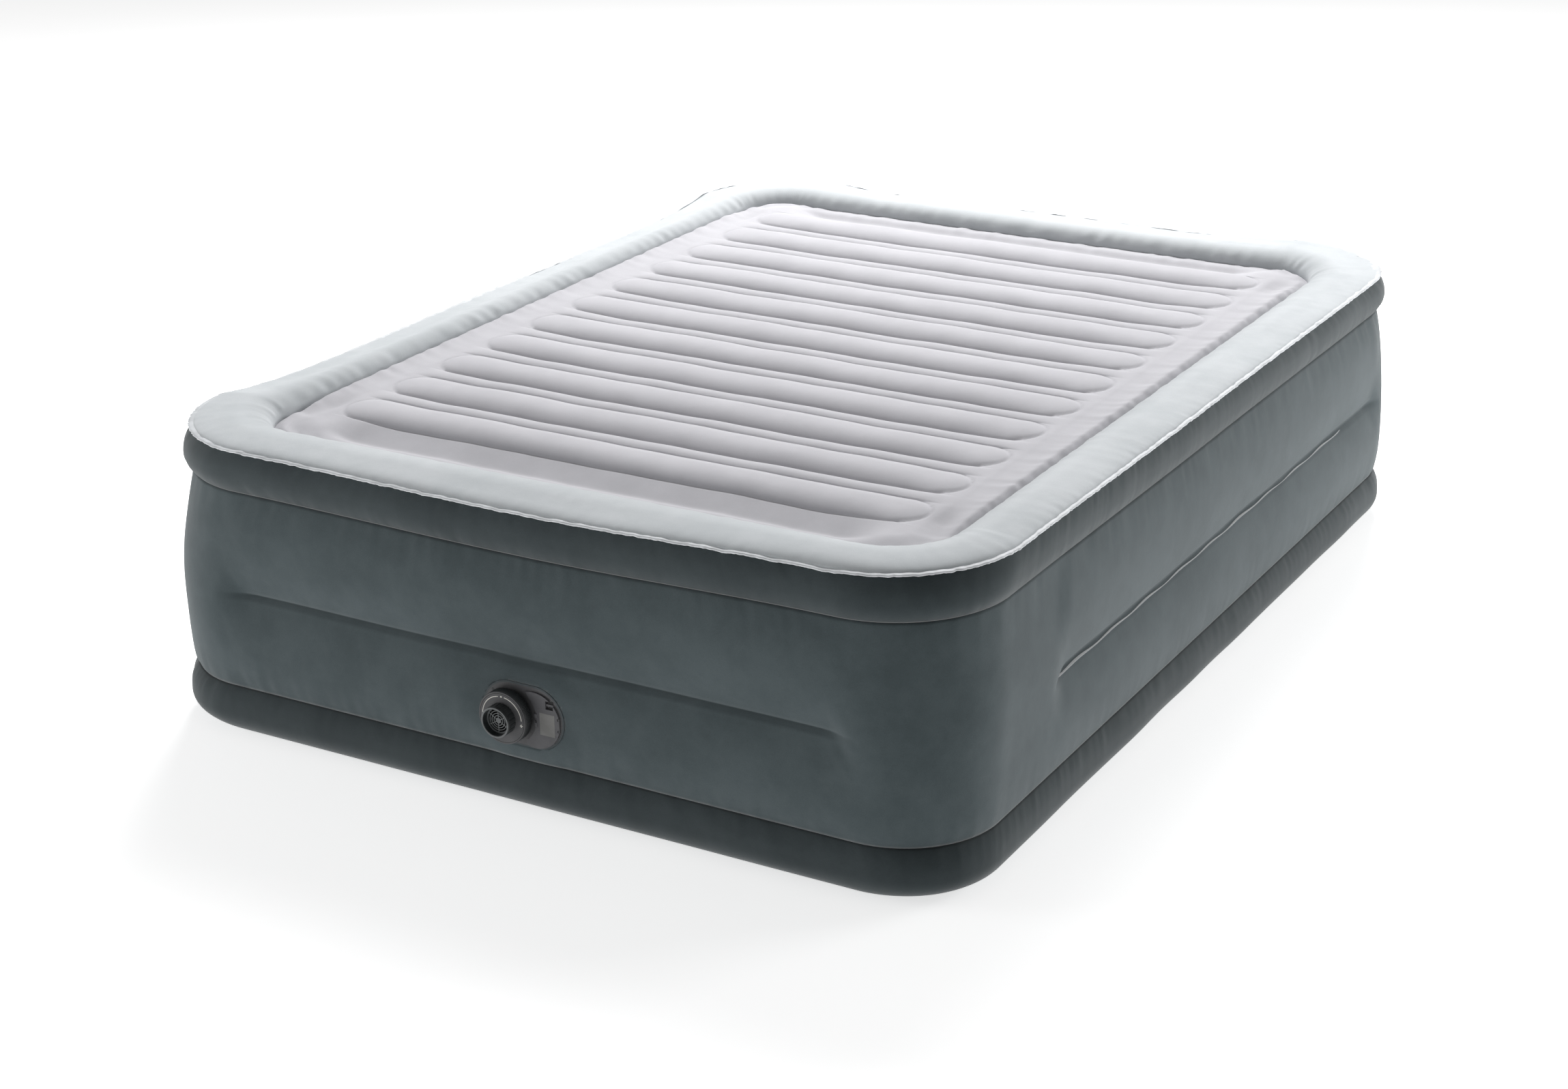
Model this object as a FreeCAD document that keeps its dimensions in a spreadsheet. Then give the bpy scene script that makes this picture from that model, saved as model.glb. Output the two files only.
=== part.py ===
import FreeCAD, Part
import math
import os
import Sketcher
from types import SimpleNamespace

# Air mattress with a built-in electric pump, inflated and standing on the floor.
# Frame: origin on the floor under the middle, +X across, +Y along, +Z up.
# The pump is in the -Y end wall. Millimetres and degrees.

Vector = FreeCAD.Vector
Constraint = Sketcher.Constraint

driving = {
    # mattress outline, measured at the welded rim
    "rim_half_width": 755,
    "rim_half_length": 1011,
    "corner_radius": 205,
    "skin": 1.2,
    # heights of the welds and the crown
    "lower_seam_height": 94,
    "waist_height": 250,
    "upper_seam_height": 450,
    "rim_height": 522,
    "rim_thickness": 4,
    "rim_width": 12,
    "crown_height": 560,
    # how far the skins stand in or out from the rim line
    "lower_pinch": 9,
    "upper_pinch": 6,
    "waist_pinch": 2,
    "wall_bulge": 7,
    "band_bulge": 5,
    "roll_inset": 45,
    "roll_radius": 47,
    # border tube and ribbed top
    "border_width": 135,
    "panel_height": 495,
    "panel_tuck": 6,
    "rib_radius": 50,
    "rib_half_length": 550,
    "rib_end_gap": 311,
    "rib_count": 11,
    # inner tie sheets
    "tie_flange": 22,
    "waist_end_margin": 6,
    "waist_side_margin": 46,
    # pump case
    "dial_x": -14.5,
    "pump_height": 176,
    "case_spacing": 45.5,
    "collar_radius": 54,
    "collar_wall": 3,
    "collar_depth": 22,
    "plate_front": 1.5,
    "plate_thickness": 3,
    "housing_depth": 105,
    "housing_wall": 2.5,
    "housing_back": 3,
    # dial and nozzle
    "dial_radius": 44,
    "dial_foot_radius": 38,
    "dial_front": 27,
    "dial_band": 6,
    "dial_wall": 2.5,
    "dial_gap": 2.5,
    "hub_radius": 23.3,
    "running_gap": 0.08,
    "free_gap": 0.3,
    "seal_radius": 26.5,
    "seal_section": 1.3,
    "retainer_radius": 27,
    "retainer_thickness": 2.5,
    "nozzle_radius": 26,
    "nozzle_bore": 22.5,
    "grille_ledge": 0.6,
    "nozzle_length": 20,
    "flute_radius": 3,
    "flute_count": 20,
    "grille_depth": 10,
    "grille_thickness": 2.4,
    "grille_bar": 1.2,
    "grille_slot": 2.8,
    "grille_sectors": 6,
    "diverter_end": 26,
    "diverter_port": 14,
    # screws that hold the face plate
    "screw_radius": 1.3,
    "screw_head_height": 1.4,
    "screw_length": 12,
    "boss_radius": 3.2,
    # lid over the cord tray
    "lid_drop": 3,
    "lid_radius": 48,
    "lid_hollow_radius": 50,
    "lid_thickness": 3,
    "lid_flat": 0.7,
    "pin_radius": 0.75,
    "barrel_half": 8,
    "ear_width": 3.4,
    "notch_x": 75,
    "notch_y": 28,
    "notch_width": 14,
    "tray_left": 51,
    "tray_right": 83,
    "tray_bottom": -28,
    "tray_top": 22,
    "tray_depth": 33,
    "tray_wall": 2,
    "gland_radius": 5,
    "gland_bore": 2.8,
    "gland_length": 9,
    # fan and motor
    "casing_radius": 32,
    "casing_front": 30,
    "casing_back": 48,
    "casing_wall": 2,
    "inlet_radius": 14,
    "impeller_radius": 27,
    "impeller_hub": 6,
    "impeller_height": 11,
    "blade_count": 9,
    "blade_thickness": 1.2,
    "shaft_radius": 1.6,
    "bush_radius": 4,
    "bush_length": 5,
    "motor_radius": 18,
    "motor_length": 42,
    "cradle_width": 12,
    "cradle_wall": 3,
    # one-way valve in the back of the case
    "valve_x": 62,
    "port_radius": 11,
    "valve_disc_radius": 14,
    "valve_disc_thickness": 2.5,
    "stem_radius": 2,
    "stem_length": 26,
    "spring_radius": 4.2,
    "spring_wire": 0.4,
    "spring_turns": 5,
}

doc = FreeCAD.newDocument("air_mattress")
sheet = doc.addObject("Spreadsheet::Sheet", "dims")
for row, (name, value) in enumerate(driving.items(), start=1):
    sheet.set(f"A{row}", str(value))
    sheet.setAlias(f"A{row}", name)
doc.recompute()


class Size:
    """A number together with the sheet formula that gives it."""

    def __init__(self, text, value):
        self.text = text
        self.value = value

    def __add__(self, other):
        other = as_size(other)
        return Size(f"({self.text} + {other.text})", self.value + other.value)

    def __sub__(self, other):
        other = as_size(other)
        return Size(f"({self.text} - {other.text})", self.value - other.value)

    def __mul__(self, other):
        other = as_size(other)
        return Size(f"({self.text} * {other.text})", self.value * other.value)

    def __truediv__(self, other):
        other = as_size(other)
        return Size(f"({self.text} / {other.text})", self.value / other.value)

    def __neg__(self):
        return Size(f"(0 - {self.text})", -self.value)

    def __rsub__(self, other):
        return as_size(other) - self

    def __rtruediv__(self, other):
        return as_size(other) / self

    __radd__ = __add__
    __rmul__ = __mul__


def as_size(number):
    return number if isinstance(number, Size) else Size(str(number), float(number))


def root(size):
    return Size(f"sqrt({size.text})", math.sqrt(size.value))


d = SimpleNamespace(**{name: Size(f"dims.{name}", float(value)) for name, value in driving.items()})
zero = as_size(0)
diagonal = math.sqrt(0.5)


# ---- sketch and feature helpers ----

def bind(thing, path, size):
    thing.setExpression(path, as_size(size).text)


def new_body(label, local=False):
    """A body; a local one stands in the pump's frame, whose +Z points out of the end wall."""
    body = doc.addObject("PartDesign::Body", label)
    body.Label = label
    if local:
        body.Placement = FreeCAD.Placement(Vector(0, 0, 0), FreeCAD.Rotation(Vector(1, 0, 0), 90))
        bind(body, "Placement.Base.x", d.dial_x)
        bind(body, "Placement.Base.y", -(d.rim_half_length + d.wall_bulge))
        bind(body, "Placement.Base.z", d.pump_height)
    return body


def new_sketch(body, name, role="XY_Plane", lift=zero):
    sketch = body.newObject("Sketcher::SketchObject", f"{body.Label}_{name}")
    plane = next(f for f in body.Origin.OriginFeatures if f.Role == role)
    sketch.AttachmentSupport = [(plane, "")]
    sketch.MapMode = "FlatFace"
    bind(sketch, "AttachmentOffset.Base.z", lift)
    return sketch


def fix(sketch, geometry, end, x, y):
    """Ties one point of a sketch to two sizes measured from the origin."""
    for kind, size in (("DistanceX", x), ("DistanceY", y)):
        size = as_size(size)
        index = sketch.addConstraint(Constraint(kind, -1, 1, geometry, end, size.value))
        sketch.setExpression(f"Constraints[{index}]", size.text)


def at(point):
    return Vector(as_size(point[0]).value, as_size(point[1]).value, 0)


def draw(sketch, start, steps):
    """A closed outline: each step is a line (end,) or an arc (point on the way, end)."""
    here = start
    ids = []
    tips = []
    for step in steps:
        first, middle, last = at(here), at(step[0]), at(step[-1])
        # a sketch holds every arc anticlockwise, so a clockwise one is drawn from its far end
        forward = len(step) == 1 or (middle - first).cross(last - first).z > 0
        curve = Part.LineSegment(first, last) if len(step) == 1 else \
            Part.Arc(first, middle, last) if forward else Part.Arc(last, middle, first)
        ids.append(sketch.addGeometry(curve))
        tips.append((1, 2) if forward else (2, 1))
        here = step[-1]
    for index, geometry in enumerate(ids):
        following = (index + 1) % len(ids)
        sketch.addConstraint(
            Constraint("Coincident", geometry, tips[index][1], ids[following], tips[following][0]))
        fix(sketch, geometry, tips[index][1], *steps[index][-1])
        if len(steps[index]) == 2:
            mark = sketch.addGeometry(Part.Point(at(steps[index][0])), True)
            fix(sketch, mark, 1, *steps[index][0])
            sketch.addConstraint(Constraint("PointOnObject", mark, 1, geometry))
    return sketch


def ring(sketch, x, y, radius):
    """A circle about (x, y)."""
    radius = as_size(radius)
    circle = sketch.addGeometry(Part.Circle(at((x, y)), Vector(0, 0, 1), radius.value))
    fix(sketch, circle, 3, x, y)
    index = sketch.addConstraint(Constraint("Radius", circle, radius.value))
    sketch.setExpression(f"Constraints[{index}]", radius.text)
    return sketch


def box(sketch, left, low, right, high):
    return draw(sketch, (left, low), [((right, low),), ((right, high),), ((left, high),), ((left, low),)])


def rounded_box(sketch, half_x, half_y, radius):
    """A rounded rectangle about the origin."""
    x, y = half_x - radius, half_y - radius
    bend_x, bend_y = x + radius * diagonal, y + radius * diagonal
    return draw(sketch, (half_x, -y), [
        ((half_x, y),), ((bend_x, bend_y), (x, half_y)),
        ((-x, half_y),), ((-bend_x, bend_y), (-half_x, y)),
        ((-half_x, -y),), ((-bend_x, -bend_y), (-x, -half_y)),
        ((x, -half_y),), ((bend_x, -bend_y), (half_x, -y))])


def slot(sketch, left, right, radius):
    """A slot between two centres on the X axis."""
    return draw(sketch, (left, -radius), [
        ((right, -radius),), ((right + radius, zero), (right, radius)),
        ((left, radius),), ((left - radius, zero), (left, -radius))])


def pad(body, sketch, length, both_ways=False):
    feature = body.newObject("PartDesign::Pad", f"{sketch.Label}_pad")
    feature.Profile = sketch
    bind(feature, "Length", length)
    feature.Midplane = both_ways
    return feature


def cut(body, sketch, length, reverse=False):
    """A pocket; it goes against the sketch's normal unless reversed."""
    feature = body.newObject("PartDesign::Pocket", f"{sketch.Label}_cut")
    feature.Profile = sketch
    bind(feature, "Length", length)
    feature.Reversed = reverse
    return feature


def turn(body, name, start, steps, angle=360):
    """A revolution about the body's Z axis; the outline is in radius and height."""
    sketch = draw(new_sketch(body, name, "XZ_Plane"), start, steps)
    feature = body.newObject("PartDesign::Revolution", f"{sketch.Label}_turn")
    feature.Profile = sketch
    feature.ReferenceAxis = (sketch, ["V_Axis"])
    feature.Angle = angle
    return feature


def tube(body, name, inner, outer, low, high):
    return turn(body, name, (inner, low), [
        ((outer, low),), ((outer, high),), ((inner, high),), ((inner, low),)])


def around(body, features, count):
    """Repeats features about the body's Z axis."""
    pattern = body.newObject("PartDesign::PolarPattern", f"{features[0].Label}_around")
    pattern.Originals = features
    pattern.Axis = (next(f for f in body.Origin.OriginFeatures if f.Role == "Z_Axis"), [""])
    pattern.Angle = 360
    pattern.Occurrences = int(count.value)
    bind(pattern, "Occurrences", count)
    body.Tip = pattern
    return pattern


def along(body, features, count, pitch):
    """Repeats features along the body's +Y axis."""
    pattern = body.newObject("PartDesign::LinearPattern", f"{features[0].Label}_along")
    pattern.Originals = features
    pattern.Direction = (next(f for f in body.Origin.OriginFeatures if f.Role == "Y_Axis"), [""])
    pattern.Length = ((count - 1) * pitch).value
    bind(pattern, "Length", (count - 1) * pitch)
    pattern.Occurrences = int(count.value)
    bind(pattern, "Occurrences", count)
    body.Tip = pattern
    return pattern


def sweep_round(label, start, steps):
    """A skin section carried round the mattress outline; X of the section is across the side wall."""
    body = new_body(label)
    path = rounded_box(new_sketch(body, "path"), d.rim_half_width, d.rim_half_length, d.corner_radius)
    section = draw(new_sketch(body, "section", "XZ_Plane"), start, steps)
    feature = body.newObject("PartDesign::AdditivePipe", f"{label}_sweep")
    feature.Profile = section
    feature.Spine = (path, [])
    return body


# ---- mattress skins ----

def bulging_skin(label, rows):
    """A wall skin through (inset, height) rows: end, middle, end, middle, end from the bottom up."""
    outer = [(d.rim_half_width - inset, height) for inset, height in rows]
    inner = [(x - d.skin, height) for x, height in outer]
    steps = [(outer[i], outer[i + 1]) for i in range(1, len(outer) - 1, 2)]
    steps.append((inner[-1],))
    steps += [(inner[i], inner[i - 1]) for i in range(len(inner) - 2, 0, -2)]
    steps.append((outer[0],))
    return sweep_round(label, outer[0], steps)


def bottom_sheet():
    body = new_body("bottom_sheet")
    inset = d.roll_inset
    rounded_box(new_sketch(body, "outline"), d.rim_half_width - inset,
                d.rim_half_length - inset, d.corner_radius - inset)
    pad(body, body.Group[-1], d.skin)
    return body


def lower_band():
    """Rolls up from the floor in one arc and leans back into the lower seam in a wider one."""
    x0 = d.rim_half_width - d.roll_inset
    radius = d.roll_radius
    top_x = d.rim_half_width - d.lower_pinch
    rise = d.lower_seam_height - radius
    lean = x0 + radius - top_x
    wide = (rise * rise + lean * lean) / (2 * lean)
    half = rise / 2

    def roll(r):
        return (x0 + r * diagonal, radius - r * diagonal), (x0 + r, radius)

    def back(r):
        centre = x0 + radius - wide
        return (centre + root(r * r - half * half), radius + half), \
            (centre + root(r * r - rise * rise), d.lower_seam_height)

    inner, inner_wide = radius - d.skin, wide - d.skin
    return sweep_round("lower_band", (x0, zero), [
        roll(radius), back(wide), (back(inner_wide)[1],),
        (back(inner_wide)[0], roll(inner)[1]), (roll(inner)[0], (x0, d.skin)), ((x0, zero),)])


def main_wall():
    """The tall side skin, pinched by the waist sheet, with an opening for the pump collar."""
    low_middle = (d.lower_seam_height + d.waist_height) / 2
    high_middle = (d.waist_height + d.upper_seam_height) / 2
    body = bulging_skin("main_wall", [
        (d.lower_pinch, d.lower_seam_height), (-d.wall_bulge, low_middle), (d.waist_pinch, d.waist_height),
        (-d.wall_bulge, high_middle), (d.upper_pinch, d.upper_seam_height)])
    opening = new_sketch(body, "pump_opening", "XZ_Plane", d.rim_half_length - d.collar_radius)
    left, right, mid, r = d.dial_x, d.dial_x + d.case_spacing, d.pump_height, d.collar_radius
    draw(opening, (left, mid - r), [
        ((right, mid - r),), ((right + r, mid), (right, mid + r)),
        ((left, mid + r),), ((left - r, mid), (left, mid - r))])
    cut(body, opening, d.collar_radius + 2 * d.wall_bulge, True)
    return body


def upper_band():
    middle = (d.upper_seam_height + d.rim_height) / 2
    return bulging_skin("upper_band", [
        (d.upper_pinch, d.upper_seam_height), (-d.band_bulge, middle), (d.waist_pinch, d.rim_height)])


def rim_flange():
    """The welded edge that shows as a thin light line round the top."""
    out = d.rim_half_width + d.rim_thickness / 2
    back = out - d.rim_width
    high = d.rim_height + d.rim_thickness
    return sweep_round("rim_flange", (back, d.rim_height), [
        ((d.rim_half_width, d.rim_height),),
        ((out, d.rim_height + d.rim_thickness / 2), (d.rim_half_width, high)),
        ((back, high),), ((back, d.rim_height),)])


def border_tube():
    """A tight shoulder from the rim to the crown, then a wide arc down to the ribbed top."""
    foot_height = d.rim_height + d.rim_thickness
    outer_x = d.rim_half_width - d.waist_pinch
    tight = d.crown_height - foot_height
    centre_x = outer_x - tight
    span = centre_x - (d.rim_half_width - d.border_width)
    drop = d.crown_height - d.panel_height
    wide = (span * span + drop * drop) / (2 * drop)
    centre_z = d.crown_height - wide
    low = d.panel_height - centre_z

    def shoulder(r):
        return (centre_x + r * diagonal, foot_height + r * diagonal)

    def slope(r):
        middle = span / 2
        return (centre_x - middle, centre_z + root(r * r - middle * middle)), \
            (centre_x - root(r * r - low * low), d.panel_height)

    inner, inner_wide = tight - d.skin, wide - d.skin
    crown, inner_crown = (centre_x, d.crown_height), (centre_x, d.crown_height - d.skin)
    return sweep_round("border_tube", (outer_x, foot_height), [
        (shoulder(tight), crown), slope(wide), (slope(inner_wide)[1],),
        (slope(inner_wide)[0], inner_crown), (shoulder(inner), (outer_x - d.skin, foot_height)),
        ((outer_x, foot_height),)])


def rib_pitch():
    """The spacing that spreads the ribs evenly between the first and last rib's axes."""
    return (d.rim_half_length - d.rib_end_gap) * 2 / (d.rib_count - 1)


def top_panel():
    """The ribbed sleeping surface: a sheet with one hollow capsule dome for each rib."""
    body = new_body("top_panel")
    inset = d.border_width - d.panel_tuck
    low = d.panel_height - d.skin
    outline = rounded_box(new_sketch(body, "outline", lift=low), d.rim_half_width - inset,
                          d.rim_half_length - inset, d.corner_radius - inset)
    pad(body, outline, d.skin)
    first = d.rib_end_gap - d.rim_half_length
    pitch = rib_pitch()
    end = d.rib_half_length - d.rib_radius
    inside = d.rib_radius - d.skin
    mouth = new_sketch(body, "mouth", lift=low)
    draw(mouth, (-end, first - inside), [
        ((end, first - inside),), ((end + inside, first), (end, first + inside)),
        ((-end, first + inside),), ((-end - inside, first), (-end, first - inside))])
    along(body, [cut(body, mouth, d.skin, True)], d.rib_count, pitch)
    for kind, name, radius in (("Revolution", "dome", d.rib_radius), ("Groove", "hollow", inside)):
        # the sketch sits on the first rib's own axis
        sketch = new_sketch(body, name, lift=d.panel_height)
        bind(sketch, "AttachmentOffset.Base.y", first)
        tip, bend = end + radius, radius * diagonal
        draw(sketch, (-tip, zero), [
            ((-end - bend, bend), (-end, radius)), ((end, radius),),
            ((end + bend, bend), (tip, zero)), ((-tip, zero),)])
        half_turn = body.newObject(f"PartDesign::{kind}", f"rib_{name}")
        half_turn.Profile = sketch
        half_turn.ReferenceAxis = (sketch, ["H_Axis"])
        half_turn.Angle = 180
        along(body, [half_turn], d.rib_count, pitch)
    return body


def waist_sheet():
    """The flat inner sheet that ties the four walls together and makes the crease round the sides."""
    body = new_body("waist_sheet")
    inset = d.waist_pinch + d.skin
    far_x, far_y = d.rim_half_width - inset, d.rim_half_length - inset
    # the welds stop before the corners begin to turn
    near_x = d.rim_half_width - d.corner_radius - d.waist_end_margin
    near_y = d.rim_half_length - d.corner_radius - d.waist_side_margin
    outline = new_sketch(body, "outline", lift=d.waist_height)
    draw(outline, (far_x, -near_y), [
        ((far_x, near_y),), ((near_x, far_y),), ((-near_x, far_y),), ((-far_x, near_y),),
        ((-far_x, -near_y),), ((-near_x, -far_y),), ((near_x, -far_y),), ((far_x, -near_y),)])
    pad(body, outline, d.skin, True)
    return body


def tie_beam(label, y, low, high):
    """An I-section of fibre sheet, welded top and bottom by its flanges."""
    body = new_body(label)
    half_flange, half_web = d.tie_flange / 2, d.skin / 2
    section = new_sketch(body, "section", "YZ_Plane")
    draw(section, (y - half_flange, low), [
        ((y + half_flange, low),), ((y + half_flange, low + d.skin),),
        ((y + half_web, low + d.skin),), ((y + half_web, high - d.skin),),
        ((y + half_flange, high - d.skin),), ((y + half_flange, high),),
        ((y - half_flange, high),), ((y - half_flange, high - d.skin),),
        ((y - half_web, high - d.skin),), ((y - half_web, low + d.skin),),
        ((y - half_flange, low + d.skin),), ((y - half_flange, low),)])
    pad(body, section, 2 * d.rib_half_length, True)
    return body


def tie_beams():
    """One upper and one lower beam under every groove between two ribs."""
    for number in range(1, int(d.rib_count.value)):
        y = rib_pitch() * (number - d.rib_count / 2)
        tie_beam(f"upper_tie_{number}", y, d.waist_height + d.skin / 2, d.panel_height - d.skin)
        tie_beam(f"lower_tie_{number}", y, d.skin, d.waist_height - d.skin / 2)


# ---- pump case, in the pump's own frame: the dial's axis is Z, the wall's outer face is Z = 0 ----

def pump_frame():
    place = Vector(driving["dial_x"], -(driving["rim_half_length"] + driving["wall_bulge"]),
                   driving["pump_height"])
    return FreeCAD.Placement(place, FreeCAD.Rotation(Vector(1, 0, 0), 90))


def case_shell(label, radius, wall, low, high, floor=None):
    """A slot-shaped tube about the dial and lid centres, with a floor if one is given."""
    body = new_body(label, True)
    pad(body, slot(new_sketch(body, "outside", lift=low), zero, d.case_spacing, radius), high - low)
    start = low if floor is None else low + floor
    inside = slot(new_sketch(body, "inside", lift=start), zero, d.case_spacing, radius - wall)
    cut(body, inside, high - start, True)
    return body


def pump_collar():
    return case_shell("pump_collar", d.collar_radius, d.collar_wall, -d.collar_depth, d.plate_front)


def pump_housing():
    radius = d.collar_radius - d.collar_wall
    body = case_shell("pump_housing", radius, d.housing_wall, -d.housing_depth,
                      d.plate_front - d.plate_thickness, d.housing_back)
    port = ring(new_sketch(body, "port", lift=-d.housing_depth), d.valve_x, zero, d.port_radius)
    cut(body, port, d.housing_back, True)
    low = d.plate_front - d.screw_length
    depth = d.screw_length - d.plate_thickness
    bosses = new_sketch(body, "bosses", lift=low)
    holes = new_sketch(body, "boss_holes", lift=low)
    for x, y in screw_spots():
        ring(bosses, x, y, d.boss_radius)
        ring(holes, x, y, d.screw_radius)
    pad(body, bosses, depth)
    cut(body, holes, depth, True)
    return body


def hinge_axis():
    """Where the lid turns: just inside its flat right edge, in the middle of its thickness."""
    half = d.lid_thickness / 2
    return d.case_spacing + d.lid_radius - d.lid_flat - half, d.plate_front + d.free_gap + half


def face_plate():
    """Carries the dial's bearing, the tray's opening and two ears for the lid's pin."""
    body = new_body("face_plate", True)
    back = d.plate_front - d.plate_thickness
    radius = d.collar_radius - d.collar_wall
    pad(body, slot(new_sketch(body, "outline", lift=back), zero, d.case_spacing, radius), d.plate_thickness)
    bearing = ring(new_sketch(body, "bearing", lift=back), zero, zero, d.hub_radius + d.running_gap)
    cut(body, bearing, d.plate_thickness, True)
    opening = box(new_sketch(body, "tray_opening", lift=back), d.tray_left + d.tray_wall,
                  d.tray_bottom + d.tray_wall, d.tray_right - d.tray_wall, d.tray_top - d.tray_wall)
    cut(body, opening, d.plate_thickness, True)
    holes = new_sketch(body, "screw_holes", lift=back)
    recesses = new_sketch(body, "screw_recesses", lift=d.plate_front - d.screw_head_height)
    for spot_x, spot_y in screw_spots():
        ring(holes, spot_x, spot_y, d.screw_radius)
        ring(recesses, spot_x, spot_y, 2 * d.screw_radius)
    cut(body, holes, d.plate_thickness, True)
    cut(body, recesses, d.screw_head_height, True)
    x, z = hinge_axis()
    half = d.lid_thickness / 2
    for name, side in (("ear_low", -1), ("ear_high", 1)):
        # a Y offset in the XZ plane is measured along its -Y normal
        near = side * (d.barrel_half + d.free_gap + d.ear_width / 2) - d.lid_drop
        ear = new_sketch(body, name, "XZ_Plane", -near)
        draw(ear, (x - half, d.plate_front), [
            ((x + half, d.plate_front),), ((x + half, z),), ((x, z + half), (x - half, z)),
            ((x - half, d.plate_front),)])
        pad(body, ear, d.ear_width, True)
    bore = ring(new_sketch(body, "pin_bore", "XZ_Plane", d.lid_drop), x, z, d.pin_radius)
    drill = cut(body, bore, 4 * d.barrel_half)
    drill.Midplane = True
    return body


def lid_pin():
    body = new_body("lid_pin", True)
    x, z = hinge_axis()
    pad(body, ring(new_sketch(body, "section", "XZ_Plane", d.lid_drop), x, z, d.pin_radius),
        2 * (d.barrel_half + d.free_gap + d.ear_width), True)
    return body


def lid():
    """A D-shaped plate whose hollow side follows the dial; its right edge is a full-round barrel."""
    body = new_body("lid", True)
    x, z = hinge_axis()
    half = d.lid_thickness / 2
    low = d.plate_front + d.free_gap
    centre_x, centre_y, r, hollow = d.case_spacing, -d.lid_drop, d.lid_radius, d.lid_hollow_radius
    corner_x = centre_x - r * 0.30
    reach = root(r * r - (corner_x - centre_x) * (corner_x - centre_x))
    top, bottom = centre_y + reach, centre_y - reach
    flat_x = x + half
    flat_y = root(r * r - (flat_x - centre_x) * (flat_x - centre_x))
    lean = r * diagonal
    outline = new_sketch(body, "outline", lift=low)
    horn_top = (root(hollow * hollow - (top - 8) * (top - 8)), top - 8)
    horn_bottom = (root(hollow * hollow - (bottom + 8) * (bottom + 8)), bottom + 8)
    draw(outline, (corner_x, bottom), [
        ((centre_x + lean, centre_y - lean), (flat_x, centre_y - flat_y)),
        ((flat_x, centre_y + flat_y),),
        ((centre_x + lean, centre_y + lean), (corner_x, top)),
        (horn_top,),
        ((hollow, zero), horn_bottom),
        ((corner_x, bottom),)])
    pad(body, outline, d.lid_thickness)
    # the barrel's rounding: the square corners beyond the axis are cut away along it
    for name, edge in (("under", low), ("over", low + d.lid_thickness)):
        corner = new_sketch(body, name, "XZ_Plane", d.lid_drop)
        bend = z + (edge - z) * diagonal
        draw(corner, (x + half, z), [
            ((x + half * diagonal, bend), (x, edge)), ((x + 2 * half, edge),),
            ((x + 2 * half, z),), ((x + half, z),)])
        trim = cut(body, corner, 2 * d.barrel_half)
        trim.Midplane = True
    slots = new_sketch(body, "ear_slots", lift=low)
    for side in (-1, 1):
        start = side * d.barrel_half + centre_y
        stop = side * (d.barrel_half + d.ear_width + 2 * d.free_gap) + centre_y
        box(slots, x - half - 2 * d.free_gap, start, x + 2 * half, stop)
    cut(body, slots, d.lid_thickness, True)
    notch = new_sketch(body, "finger_notch", lift=low)
    width = d.notch_width / 2
    box(notch, d.notch_x - width, d.notch_y - width, d.notch_x + width, d.notch_y + width)
    cut(body, notch, d.lid_thickness, True)
    bore = ring(new_sketch(body, "bore", "XZ_Plane", d.lid_drop), x, z, d.pin_radius + d.running_gap)
    drill = cut(body, bore, 2 * d.barrel_half)
    drill.Midplane = True
    bar = new_sketch(body, "bar", lift=low)
    box(bar, d.notch_x - width, d.notch_y - width / 4, d.notch_x + width, d.notch_y + width / 4)
    pad(body, bar, d.lid_thickness / 2)
    return body


def lid_catch():
    """Two spring tabs that hold the lid's hollow edge."""
    body = new_body("lid_catch", True)
    right = d.lid_hollow_radius - d.free_gap
    tabs = new_sketch(body, "tabs", lift=d.plate_front)
    for side in (-1, 1):
        box(tabs, right - 4, side * 3.5, right - 1, side * 9)
    pad(body, tabs, d.lid_thickness + d.free_gap)
    bridge = box(new_sketch(body, "bridge", lift=d.plate_front), right - 4, as_size(-9), right - 1, as_size(9))
    pad(body, bridge, d.plate_front)
    return body


def cord_tray():
    body = new_body("cord_tray", True)
    top = d.plate_front - d.plate_thickness
    low = top - d.tray_depth
    pad(body, box(new_sketch(body, "outside", lift=low), d.tray_left, d.tray_bottom, d.tray_right,
                  d.tray_top), d.tray_depth)
    inside = box(new_sketch(body, "inside", lift=low + d.tray_wall), d.tray_left + d.tray_wall,
                 d.tray_bottom + d.tray_wall, d.tray_right - d.tray_wall, d.tray_top - d.tray_wall)
    cut(body, inside, d.tray_depth - d.tray_wall, True)
    hole = ring(new_sketch(body, "gland_hole", "YZ_Plane", d.tray_left), gland_y(), gland_z(), d.gland_radius)
    cut(body, hole, d.tray_wall, True)
    return body


def gland_y():
    return (d.tray_bottom + d.tray_top) / 2


def gland_z():
    return d.plate_front - d.plate_thickness - d.tray_depth / 2


def cord_gland():
    """The bush where the mains cord leaves the tray for the motor."""
    body = new_body("cord_gland", True)
    start = d.tray_left + d.tray_wall - d.gland_length
    pad(body, ring(new_sketch(body, "barrel", "YZ_Plane", start), gland_y(), gland_z(), d.gland_radius),
        d.gland_length)
    head = ring(new_sketch(body, "head", "YZ_Plane", d.tray_left + d.tray_wall), gland_y(), gland_z(),
                d.gland_radius + d.tray_wall)
    pad(body, head, d.tray_wall)
    bore = ring(new_sketch(body, "bore", "YZ_Plane", start), gland_y(), gland_z(), d.gland_bore)
    cut(body, bore, d.gland_length + d.tray_wall, True)
    return body


# ---- dial group ----

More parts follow.
